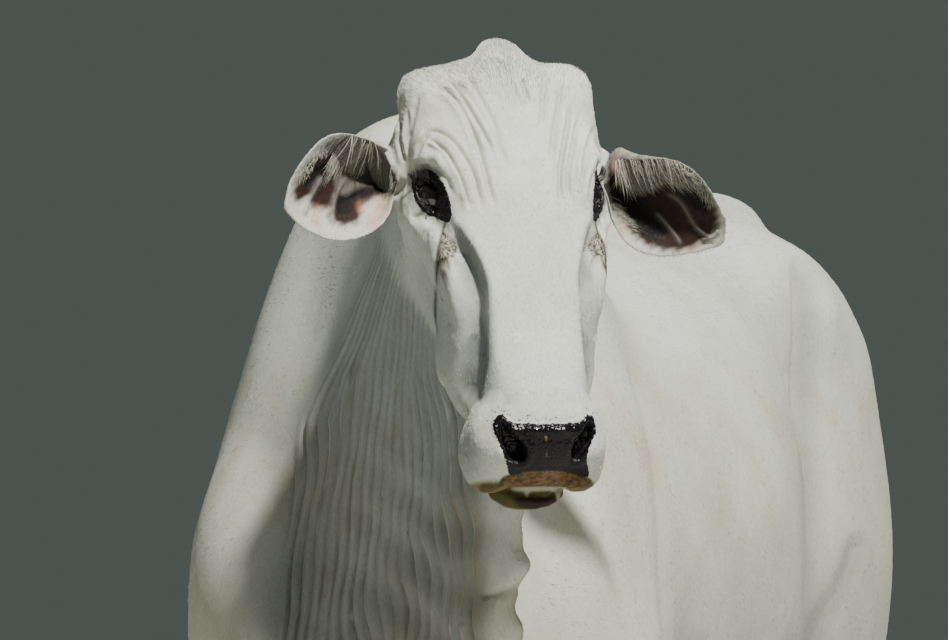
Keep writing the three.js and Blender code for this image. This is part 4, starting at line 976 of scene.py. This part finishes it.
# %% The mouth
def paint_mouth(c, marks, ph, hh, low, front, open_front):
    """Lips stained brown and green from grazing, dark red below, with a little foam between them."""
    lip = inside(ph, LIP)
    ends = step(520, 506, ph[:, 0]) + step(572, 586, ph[:, 0])
    c = layer(c, step(-2, 2, lip) * low * open_front, RUST)
    raised(marks, STAINED, 0.75 * step(-4, 5, lip) * low * front)
    marks[:, BARE] *= 1 - step(0, 4, lip) * (1 - 0.8 * ends) * low
    raised(marks, WET, 0.6 * step(-1.5, 2.0, lip) * low * front)
    for corner in LIP_CORNERS:
        c = layer(c, 0.85 * step(-4, 3, inside(ph, corner)) * low, GRASS_STAIN)
    chin = inside(ph, CHIN)
    c = layer(c, 0.6 * step(-100, -108, hh[:, 2]) * low, OLIVE * 0.7)
    c = layer(c, 0.95 * step(-4, 1, chin) * low * open_front, CUD_GREEN)
    c = layer(c, 0.9 * step(-3, 3, inside(ph, CHIN_RED)) * open_front * low, RED)
    raised(marks, WET, 0.3 * step(-3, 1, chin) * low * open_front)
    foam = step(-1.5, 1.5, inside(ph, FOAM)) * low * open_front
    marks[:, :WET] *= 1 - foam[:, None]
    return layer(c, 0.55 * foam, FROTH)


# %% Painted point by point
def painted(made):
    """The tint of every point, and the marks: how bare, how stained and how wet it is."""
    p, n, b, h, px, q, off, facing = regions(made.data)
    patch = np.sin(p @ [13, 7, 9]) * np.sin(p @ [-8, 12, 6] + 1) + 0.5 * np.sin(p @ [31, -22, 27] + 2)
    marks = np.zeros((len(p), 3))
    c = paint_trunk(np.tile(WHITE, (len(p), 1)), b, off, patch)
    c = paint_neck(c, b, px, off, facing)
    head = np.nonzero((off < 20) & (h[:, 1] < 90))[0]
    ph, hh, mh = px[head], h[head], marks[head]
    low = step(-375, -395, hh[:, 1])
    front, open_front = step(-0.1, 0.15, facing[head]), step(-0.7, -0.4, facing[head])
    ch = paint_face(c[head], mh, ph, q[head], hh, front, patch[head])
    ch = paint_nose(ch, mh, ph, low, front)
    ch = paint_mouth(ch, mh, ph, hh, low, front, open_front)
    c[head], marks[head] = ch, mh
    # The dewlap's hanging rim is yellowish
    rim = step(-330, -480, b[:, 1]) * step(0.45, 0.25, np.abs(n @ BACK)) * step(1180, 1000, b[:, 2])
    c = layer(c, 0.35 * rim, OLIVE * 1.6)
    attribute(made.data, "tint", c)
    attribute(made.data, "marks", marks)
    return c


def unwrapped(made):
    """An unwrap of the piece's own shape, in a UV map named OFBake."""
    made.data.uv_layers.new(name="OFBake")
    bpy.ops.object.select_all(action="DESELECT")
    made.select_set(True)
    bpy.context.view_layer.objects.active = made
    bpy.ops.object.mode_set(mode="EDIT")
    bpy.ops.mesh.select_all(action="SELECT")
    bpy.ops.uv.smart_project(angle_limit=1.15, island_margin=0.001)
    bpy.ops.object.mode_set(mode="OBJECT")


skin_tint = painted(skin)
unwrapped(skin)
skin.data.shade_smooth()
skin.data.materials.append(HIDE)
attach(skin, "root")
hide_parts(*SKIN_PARTS)
print("skin painted")

# %% [markdown]
# ## Ears
# Each ear is a thin cupped leaf. A fine copy of the CAD leaf keeps its shape, takes soft edges and
# gets the ridges and troughs that run down the inside toward the tip.

# %% What the ears bear, in pixels of the view
# How places on each ear are shifted, the dark troughs, the pink and orange spots, the raised ridges
# and the region under the long hair
EAR_MARKS = {
    "right": {
        "warp": [((272, 219), (15, -15)), ((288, 173), (12, -8)), ((298, 233), (3, -5)),
                 ((322, 140), (9, -8)), ((350, 139), (0, -5)), ((341, 239), (0, 1)),
                 ((400, 178), (-4, 0)), ((350, 190), (0, 0)), ((310, 200), (4, -4))],
        "dark": [(341, 148), (327, 155), (313, 163), (303, 177), (297, 190), (299, 198), (309, 194),
                 (312, 201), (318, 206), (330, 205), (333, 217), (343, 222), (355, 219), (361, 204),
                 (371, 196), (385, 193), (395, 192), (396, 180), (386, 168), (372, 158), (356, 151)],
        "black": [[(340, 152), (326, 162), (312, 168), (303, 182), (306, 190), (318, 184), (330, 178)],
                  [(336, 200), (352, 192), (376, 185), (392, 184), (380, 190), (362, 198), (352, 212),
                   (338, 214)]],
        "pink": [((315, 220), 5, 7), ((382, 206), 9, 14), ((372, 222), 8, 9)],
        "orange": [((317, 207), 3.5, 3.5), ((359, 206), 3, 6)],
        "ridge": [[(332, 228), (332, 212), (335, 196), (345, 176)],
                  [(303, 218), (308, 202), (315, 188), (324, 174)]],
        "hair": [(334, 150), (345, 130), (365, 130), (386, 148), (394, 184), (378, 184), (360, 188),
                 (344, 196), (334, 184)],
    },
    "left": {
        "warp": [((677, 268), (-2, -14)), ((721, 249), (5, -7)), ((702, 262), (2, -12)),
                 ((630, 233), (-5, -2)), ((650, 256), (-5, -10)), ((620, 147), (0, 0)),
                 ((680, 160), (0, -2)), ((709, 188), (0, 0)), ((665, 205), (0, 0))],
        "dark": [(611, 160), (630, 158), (660, 164), (690, 174), (708, 196), (715, 218), (712, 230),
                 (700, 240), (682, 247), (664, 247), (646, 241), (630, 226), (618, 208), (611, 190)],
        "black": [[(616, 192), (632, 192), (650, 206), (664, 224), (666, 236), (654, 240), (640, 233),
                   (628, 216)],
                  [(668, 176), (682, 180), (696, 188), (706, 206), (706, 214), (692, 206), (676, 190)]],
        "pink": [((622, 226), 6, 8), ((690, 246), 9, 4)],
        "orange": [((614, 164), 2.5, 8)],
        "ridge": [[(662, 190), (680, 201), (697, 228), (718, 243)],
                  [(654, 210), (668, 226), (682, 247)],
                  [(700, 240), (712, 236), (719, 228)]],
        "hair": [(611, 150), (640, 144), (672, 150), (694, 170), (674, 180), (652, 192), (636, 196),
                 (616, 184)],
    },
}
PIXEL = 0.0011
WARP_REACH = 26
print("one pixel is", PIXEL * 1000, "mm at the head")


# %% Ears, fine copies of the leaves
def shape_ear(ear, has):
    """Shifts the leaf to its seen outline, raises its ridges and sinks its troughs."""
    p, n = points(ear.data), normals(ear.data)
    p = relaxed(ear.data, p, np.ones(len(p)), 12)
    cup = step(-0.05, 0.15, n @ BACK)
    force = np.exp(-((seen(p)[:, None] - [at for at, by in has["warp"]]) ** 2).sum(-1) / WARP_REACH ** 2)
    push = force @ np.array([by for at, by in has["warp"]]) / np.maximum(force.sum(1), 0.6)[:, None]
    p = p + (push[:, :1] * RIGHT - push[:, 1:] * UP) * PIXEL
    px = seen(p)
    ridge = np.zeros(len(p))
    for line in has["ridge"]:
        ridge = np.maximum(ridge, along(px, line, 2.6, 0.15))
    black = np.maximum(*[inside(px, outline) for outline in has["black"]])
    lift = 3.2 * ridge - 2.2 * step(-1, 6, black)
    move_to(ear.data, p + n * (lift * cup)[:, None] / 1000)
    return px, cup, ridge, black


def paint_ear(ear, has, px, cup, ridge, black):
    """Pinkish white outside the troughs, brown to black in them, grey under the long hair."""
    dark = inside(px, has["dark"]) + 1.5 * np.sin(px[:, 0] / 2.3 + px[:, 1] / 3.1) * np.sin(px[:, 1] / 2.7)
    c = np.tile(WHITE * 0.8, (len(px), 1))
    for at, wide, high in has["pink"]:
        c = layer(c, 0.6 * cup * spot(px, at, wide, high), EAR_PINK)
    c = layer(c, cup * step(-9, 2, dark), EAR_BROWN)
    c = layer(c, cup * step(-3, 4, black), EAR_BLACK)
    c = layer(c, 0.45 * cup * ridge, EAR_VEIN)
    c = layer(c, 0.55 * cup * step(-3, 5, inside(px, has["hair"])), EAR_GREY)
    for at, wide, high in has["orange"]:
        c = layer(c, 0.5 * cup * spot(px, at, wide, high), EAR_PINK * [0.8, 0.5, 0.35])
    streaks = np.sin(px[:, 0] / 1.6 + px[:, 1] / 5.0) * 0.5 + 0.5
    c = layer(c, 0.12 * cup * streaks * step(2, -6, dark), EAR_PINK * 1.1)
    attribute(ear.data, "tint", c)
    attribute(ear.data, "marks", np.zeros((len(px), 3)))
    return c


ears = {}
for side, has in EAR_MARKS.items():
    ear = new_object(f"ear_leaf_{side}", welded([f"ear_{side}"]))
    remeshed(ear, 0.0016)
    c = paint_ear(ear, has, *shape_ear(ear, has))
    unwrapped(ear)
    ear.data.shade_smooth()
    ear.data.materials.append(HIDE)
    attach(ear, "root")
    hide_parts(f"ear_{side}")
    ears[side] = (ear, c)
print("ears made")

# %% [markdown]
# ## Eyes, claws and the switch's core
# The eyeballs are spheres with a bulging cornea, dark brown under a wet coat. The claws are rounded
# copies of the CAD claws with growth rings. The switch's core is a slimmer copy that the locks hide.

# %% Eyeballs
for side, sign in (("left", 1), ("right", -1)):
    bm = bmesh.new()
    bmesh.ops.create_uvsphere(bm, u_segments=48, v_segments=32, radius=BALL / 1000)
    look = EYE_OUT * [sign, 1, 1] @ HEAD
    turn = Vector(look).to_track_quat("Z", "Y").to_matrix()
    at = out_of_head(EYE_AT * [sign, 1, 1])
    shades = []
    for v in bm.verts:
        outward = v.co.z / (BALL / 1000)
        v.co *= 1 + 0.05 * float(step(0.80, 1.0, outward))
        v.co = turn @ v.co + Vector(at)
        iris = float(step(0.78, 0.82, outward) * step(0.93, 0.91, outward))
        shades.append(EYE_BLACK * (1 - iris) + EYE_BROWN * iris)
    mesh = bpy.data.meshes.new(f"eyeball_{side}")
    bm.to_mesh(mesh)
    bm.free()
    attribute(mesh, "tint", np.array(shades))
    mesh.shade_smooth()
    mesh.materials.append(EYE_WET)
    ball = new_object(f"eyeball_{side}", mesh)
    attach(ball, "root")
    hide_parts(f"eye_{side}")
print("eyeballs", round(BALL, 1), "mm")

# %% Claws with growth rings
for name in [n for n in nodes if "claw" in n]:
    claw = new_object(f"horn_{name}", welded([name]))
    remeshed(claw, 0.0032)
    p = points(claw.data)
    p = relaxed(claw.data, p, step(0.002, 0.010, p[:, 2]), 5)
    n = normals(claw.data)
    rings = np.sin(p[:, 2] * 900 + p[:, 1] * 160) * step(0.012, 0.025, p[:, 2])
    rings = rings * step(0.9, 0.5, np.abs(n[:, 2]))
    move_to(claw.data, p + n * rings[:, None] * 0.0005)
    claw.data.shade_smooth()
    claw.data.materials.append(HORN)
    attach(claw, "root")
    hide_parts(name)
print("claws made")

# %% Dewclaws, two behind each pastern
DEWCLAW_APART, DEWCLAW_HIGH, DEWCLAW_RADIUS = 0.019, 0.118, 0.013
tree = BVHTree.FromPolygons([v.co for v in skin.data.vertices], [f.vertices for f in skin.data.polygons])
for part in [n for n in nodes if "pastern" in n]:
    low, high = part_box(part)
    for sign in (-1, 1):
        start = Vector(((low[0] + high[0]) / 2 + DEWCLAW_APART * sign, high[1] + 0.2, DEWCLAW_HIGH))
        hit = tree.ray_cast(start, Vector((0, -1, 0)))[0]
        bm = bmesh.new()
        bmesh.ops.create_icosphere(bm, subdivisions=3, radius=DEWCLAW_RADIUS)
        for v in bm.verts:
            v.co.x *= 0.85
            v.co.y *= 0.85 + 0.25 * float(step(0.0, -DEWCLAW_RADIUS, v.co.z))
            v.co.z *= 1.35
            v.co = v.co + hit + Vector((0, 0.004, -0.002))
        name = f"dewclaw_{part}_{'in' if (sign > 0) != (start.x > 0) else 'out'}"
        mesh = bpy.data.meshes.new(name)
        bm.to_mesh(mesh)
        bm.free()
        mesh.shade_smooth()
        mesh.materials.append(HORN)
        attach(new_object(name, mesh), "root")
print("dewclaws made")

# %% The switch's core
core = new_object("switch_core", welded(["tail_switch"], -0.005))
remeshed(core, 0.005)
move_to(core.data, relaxed(core.data, points(core.data), np.ones(len(core.data.vertices)), 8))
attribute(core.data, "tint", np.tile(DARK, (len(core.data.vertices), 1)))
core.data.shade_smooth()
core.data.materials.append(SWITCH)
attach(core, "root")
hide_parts("tail_switch")
print("switch core made")

# %% [markdown]
# ## Hair
# The coat is short and lies flat, so most of it is the material's grain. Tufts show where it breaks
# the form: on the poll, in the ears, on the dewlap, along the hump and behind the legs. A tuft is a
# thin pointed solid that leaves the skin and bends over to lie along it.


# %% A maker of many locks
def locks(name, roots, normal, way, length, radius, tint, place,
          rise=0.15, rings=2, material=COAT, slot="hide"):
    """One mesh of pointed three-sided locks. Way is where they point, place their spot on the unwrap."""
    count = len(roots)
    way = unit(way - normal * np.sum(way * normal, 1, keepdims=True))
    side = np.cross(way, normal)
    corners = np.radians([90, 210, 330])
    verts = np.empty((count, rings * 3 + 1, 3))
    spots = np.empty((count, rings * 3 + 1, 2))
    bend = rng.normal(0, 0.10, (count, 1))
    length = np.broadcast_to(np.asarray(length, float), (count,))[:, None]
    radius = np.broadcast_to(np.asarray(radius, float), (count,))[:, None]
    for k in range(rings + 1):
        s = k / rings
        up = rise * (1.3 * s - 0.75 * s * s)
        reach = length * (way * s + normal * up + side * bend * s * s)
        centre = roots - normal * radius * (1 - s) * 0.6 + reach
        if k == rings:
            verts[:, -1], spots[:, -1] = centre, (0, 0.0015)
            break
        wide = radius * (1 - 0.75 * s ** 1.5)
        for j, a in enumerate(corners):
            verts[:, k * 3 + j] = centre + (side * math.cos(a) + normal * math.sin(a) * 0.6) * wide
            spots[:, k * 3 + j] = ((j - 1) * 0.0013, 0.003 * s - 0.0015)
    faces = [(0, 2, 1)]
    for k in range(rings - 1):
        for j in range(3):
            a, c = k * 3 + j, k * 3 + (j + 1) % 3
            faces += [(a, c, c + 3), (a, c + 3, a + 3)]
    last = (rings - 1) * 3
    faces += [(last + j, last + (j + 1) % 3, rings * 3) for j in range(3)]
    faces = (np.arange(count)[:, None, None] * (rings * 3 + 1) + np.array(faces)[None]).reshape(-1, 3)
    mesh = bpy.data.meshes.new(name)
    mesh.vertices.add(verts.shape[0] * verts.shape[1])
    mesh.vertices.foreach_set("co", verts.ravel())
    mesh.loops.add(len(faces) * 3)
    mesh.loops.foreach_set("vertex_index", faces.astype(np.int32).ravel())
    mesh.polygons.add(len(faces))
    mesh.polygons.foreach_set("loop_start", np.arange(0, len(faces) * 3, 3, dtype=np.int32))
    mesh.update(calc_edges=True)
    mesh.shade_smooth()
    layer_uv = mesh.uv_layers.new(name="OFBake")
    on_map = np.clip(place[:, None, :] + spots, 0.0, 1.0).reshape(-1, 2)
    layer_uv.data.foreach_set("uv", on_map[faces.ravel()].astype(np.float32).ravel())
    attribute(mesh, "tint", np.repeat(tint, rings * 3 + 1, axis=0))
    mesh.materials.append(material)
    made = new_object(name, mesh)
    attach(made, "root")


def scatter(made, share, count, colours):
    """Random roots on a piece, dense where the share of its points is high."""
    mesh = made.data
    mesh.calc_loop_triangles()
    tri = read(mesh.loop_triangles, "vertices", 3, np.int32)
    loops = read(mesh.loop_triangles, "loops", 3, np.int32)
    p, n = points(mesh), normals(mesh)
    a, b, c = p[tri[:, 0]], p[tri[:, 1]], p[tri[:, 2]]
    weight = np.linalg.norm(np.cross(b - a, c - a), axis=1) * share[tri].mean(axis=1)
    weight = np.where(share[tri].min(axis=1) > 0, weight, 0)
    if weight.sum() <= 0:
        return None
    pick = rng.choice(len(tri), count, p=weight / weight.sum())
    u, v = rng.random((2, count))
    u, v = np.where(u + v > 1, 1 - u, u), np.where(u + v > 1, 1 - v, v)
    mix = np.stack([1 - u - v, u, v], 1)[:, :, None]
    uv = read(mesh.uv_layers["OFBake"].data, "uv", 2)
    return ((p[tri[pick]] * mix).sum(1), unit((n[tri[pick]] * mix).sum(1)),
            (colours[tri[pick]] * mix).sum(1), (uv[loops[pick]] * mix).sum(1))


rng = np.random.default_rng(7)
lean = 1.0
p, n, b, h, px, q, off, facing = regions(skin.data)
marks = read(skin.data.color_attributes["marks"].data, "color", 4)
bare = np.maximum(marks[:, BARE], marks[:, WET])
eye_gap = np.minimum(np.abs(inside(q, EYE_OPEN)), 99)
clear = step(0.25, 0.1, bare)
on_head = step(12, -12, off)
print("hair sown over", len(p), "points")


def grown(name, share, count, way, length, radius, shade=(0.85, 1.1), **more):
    """Locks sown on the skin. Way may be a function of the roots and normals."""
    found = scatter(skin, share, int(count * lean), skin_tint)
    if found is None:
        return
    root, normal, tint, place = found
    tint = tint * rng.uniform(shade[0], shade[1], (len(root), 1))
    way = way(root, normal) if callable(way) else np.broadcast_to(way, root.shape)
    long = length * rng.uniform(0.7, 1.25, len(root))
    thick = radius / 1000 * rng.uniform(0.8, 1.2, len(root))
    locks(name, root, normal, way, long / 1000, thick, tint, place, **more)


def body_lie(root, normal):
    """Backward and down on the trunk and down on the legs, a little uneven. The normal plays no part."""
    b = in_body(root)
    leg = step(700, 500, b[:, 2])[:, None]
    flow = np.array([0, 0.85, -0.5]) * (1 - leg) + np.array([0, 0.25, -1.0]) * leg
    wave = np.sin(root @ [9, 7, 5])[:, None] * np.array([0.15, 0, 0.2])
    return flow + wave + rng.normal(0, 0.12, root.shape)


def head_lie(root, normal):
    """Away from the whorl on the forehead: down the nose, back over the cheeks, up over the poll."""
    h = in_head(root)
    away = h - [0, -150, 0]
    away[:, 2] = -0.25 * np.abs(h[:, 0])
    return unit(away) @ HEAD + rng.normal(0, 0.15, root.shape)


# %% Tufts of the coat
share = pleat_share(px)
pleated = step(-0.12, 0, share) * step(1.12, 1, share) * step(200, 100, b[:, 1]) * step(-0.1, 0.1, facing)
body = step(5, 30, off) * clear * step(0.03, 0.09, p[:, 2]) * (1 - pleated)
grown("coat_body_fore", body * step(160, 80, b[:, 1]), 9000, body_lie, 13, 0.36, (1.1, 1.22), rise=0.03)
grown("coat_body_rear", body * step(80, 160, b[:, 1]), 9000, body_lie, 14, 0.38, (1.1, 1.22), rise=0.03)
face = on_head * clear * step(70, 40, h[:, 1]) * step(2, 7, eye_gap)
face = face * (1 - 0.85 * spot(q, (466, 372), 16, 20))
grown("coat_face", face, 13000, head_lie, 6, 0.25, (1.08, 1.2), rise=0.05)
poll = on_head * clear * spot(px, (490, 50), 110, 34) * step(-120, -20, h[:, 1])
grown("coat_poll", poll, 5200, lambda r, n: head_lie(r, n) + TOP * 0.3, 8, 0.25, (1.1, 1.22), rise=0.20)
crest = step(40, 80, off) * step(0.55, 0.9, n[:, 2]) * step(1100, 1200, b[:, 2])
grown("coat_crest", crest, 2600, body_lie, 13, 0.36, (1.1, 1.22), rise=0.08)
fringe = step(20, 50, off) * step(0.45, 0.25, np.abs(facing)) * step(0.5, 0.2, np.abs(n[:, 0]))
fringe = fringe * step(-300, -380, b[:, 1]) * step(1150, 1050, b[:, 2]) * step(500, 560, b[:, 2])
grown("coat_dewlap", fringe, 2600, lambda r, n: -TOP + n * 0.2, 20, 0.6, rise=0.25)
belly = step(0.4, 0.8, -n[:, 2]) * step(500, 560, b[:, 2]) * step(-200, 0, b[:, 1])
grown("coat_belly", belly, 3000, body_lie, 24, 0.7, rise=0.3)
heel = step(0.3, 0.8, n[:, 1]) * step(620, 560, b[:, 2]) * step(0.07, 0.10, p[:, 2])
grown("coat_heels", heel, 2400, lambda r, n: body_lie(r, n) + n * 0.2, 20, 0.7, rise=0.25)
band = step(0.115, 0.10, p[:, 2]) * step(0.066, 0.078, p[:, 2])
grown("coat_coronet", band, 2200, lambda r, n: -TOP + n * 0.1, 18, 0.7, rise=0.15)
print("coat sown")

# %% Lashes
# Of each lid: its edge on the view, which way the lashes turn, how many there are and how long
LASH_BLACK = [0.012, 0.010, 0.010]
LASHES = [([(417, 185), (424, 181), (433, 183), (441, 190), (447, 202)], 1.0, 150, 15),
          ([(424, 203), (431, 210), (439, 213), (445, 214)], -0.7, 40, 4)]
for sign, side in ((1, "left"), (-1, "right")):
    rows = []
    for line, lid_way, many, long in LASHES:
        t = rng.random(int(many * lean))
        curve = through(line)
        at = np.stack([np.interp(t, np.linspace(0, 1, len(curve)), curve[:, k]) for k in (0, 1)], 1)
        rows.append((at + rng.normal(0, 0.6, at.shape), np.full(len(t), lid_way), np.full(len(t), long)))
    at, lid_way, long = (np.concatenate(x) for x in zip(*rows))
    lid = (eye_depth(h) < BALL + 8) & (h[:, 0] * sign > 0) & (inside(q, EYE_OPEN) < -0.5) & (h[:, 2] > -80)
    lid = np.nonzero(lid)[0]
    near = lid[np.argmin(((q[lid][None] - at[:, None]) ** 2).sum(-1), axis=1)]
    out = EYE_OUT * [sign, 1, 1] @ HEAD
    way = out + HEAD[1] * (lid_way * 0.25)[:, None] - TOP * 0.35 * (lid_way > 0)[:, None]
    way = way + rng.normal(0, 0.18, (len(at), 3)) + HEAD[1] * lid_way[:, None]
    locks(f"lashes_{side}", p[near], unit(n[near] * 0.3 + out), way, long / 1000, 0.00035,
          np.tile(LASH_BLACK, (len(at), 1)), np.full((len(at), 2), 0.5), rise=0.9, rings=3)
print("lashes made")

# %% The ears' long hair and their soft coat
# Of each lock field: its outline on the view, the way the hair falls, how many locks and how long
EAR_HAIR_WHITE = np.array([0.42, 0.41, 0.34])
EAR_HAIR = {
    "right": [
        ([(334, 152), (348, 137), (365, 136), (380, 152), (388, 172), (372, 160), (352, 152)],
         (-0.42, 0.9), 1900, 46),
        ([(300, 176), (312, 156), (326, 143), (340, 136), (338, 146), (318, 160), (306, 178)],
         (-0.35, 0.8), 240, 10),
        ([(376, 150), (390, 166), (394, 186), (384, 182)],
         (-0.3, 0.9), 160, 26),
    ],
    "left": [
        ([(614, 152), (640, 146), (664, 150), (684, 160), (672, 168), (648, 164), (622, 166)],
         (0.3, 0.95), 1900, 40),
        ([(664, 156), (684, 162), (700, 178), (712, 200), (704, 198), (690, 178), (670, 170)],
         (-0.1, 0.9), 360, 14),
        ([(612, 196), (622, 212), (634, 228), (628, 230), (616, 214)],
         (0.9, 0.25), 200, 12),
    ],
}
for side, rows in EAR_HAIR.items():
    ear, colours = ears[side]
    pe, ne = points(ear.data), normals(ear.data)
    pxe = seen(pe)
    for k, (outline, way, many, long) in enumerate(rows):
        share = step(-2, 2, inside(pxe, outline)) * (ne @ BACK > 0.1) * (ne @ UP < 0.45)
        found = scatter(ear, share, int(many * lean), colours)
        if found is None:
            continue
        root, normal, tint, place = found
        flow = RIGHT * way[0] - UP * way[1] + rng.normal(0, 0.10, root.shape)
        tone = EAR_HAIR_WHITE * rng.uniform(0.3, 1.15, (len(root), 1))
        uneven = long / 1000 * rng.uniform(0.5, 1.15, len(root))
        locks(f"ear_hair_{side}_{k}", root, normal, flow, uneven, 0.00034, tone, place,
              rise=0.35 if long > 20 else 0.2, rings=4 if long > 20 else 2)
    rim = (np.abs(ne @ BACK) < 0.9).astype(float)
    found = scatter(ear, rim, int(2600 * lean), colours)
    root, normal, tint, place = found
    outward = unit(root - middle(f"ear_{side}")) * 0.5 + rng.normal(0, 0.2, root.shape)
    tint = tint * rng.uniform(0.85, 1.1, (len(root), 1))
    locks(f"ear_coat_{side}", root, normal, outward - TOP * 0.7, 0.0045, 0.0003, tint, place, rise=0.12)
print("ears haired")

# %% The switch of the tail
low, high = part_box("tail_switch")
unwrapped(core)
dark = np.tile(DARK, (len(core.data.vertices), 1))
pc = points(core.data)
found = scatter(core, 0.2 + step(low[2], high[2], pc[:, 2]), int(1700 * lean), dark)
root, normal, tint, place = found
normal = unit(normal * [1, 1, 0.05] + [0, 1e-6, 0])
long = np.minimum(0.16 * rng.uniform(0.6, 1.1, len(root)), (root[:, 2] - low[2]) * 0.98 + 0.012)
tone = tint * rng.uniform(0.6, 3.0, (len(root), 1))
down = -TOP + rng.normal(0, 0.05, root.shape)
locks("switch_locks", root, normal, down, long, 0.0013, tone, place, rise=0.06, rings=5,
      material=SWITCH, slot="switch_hair")
print("switch haired")
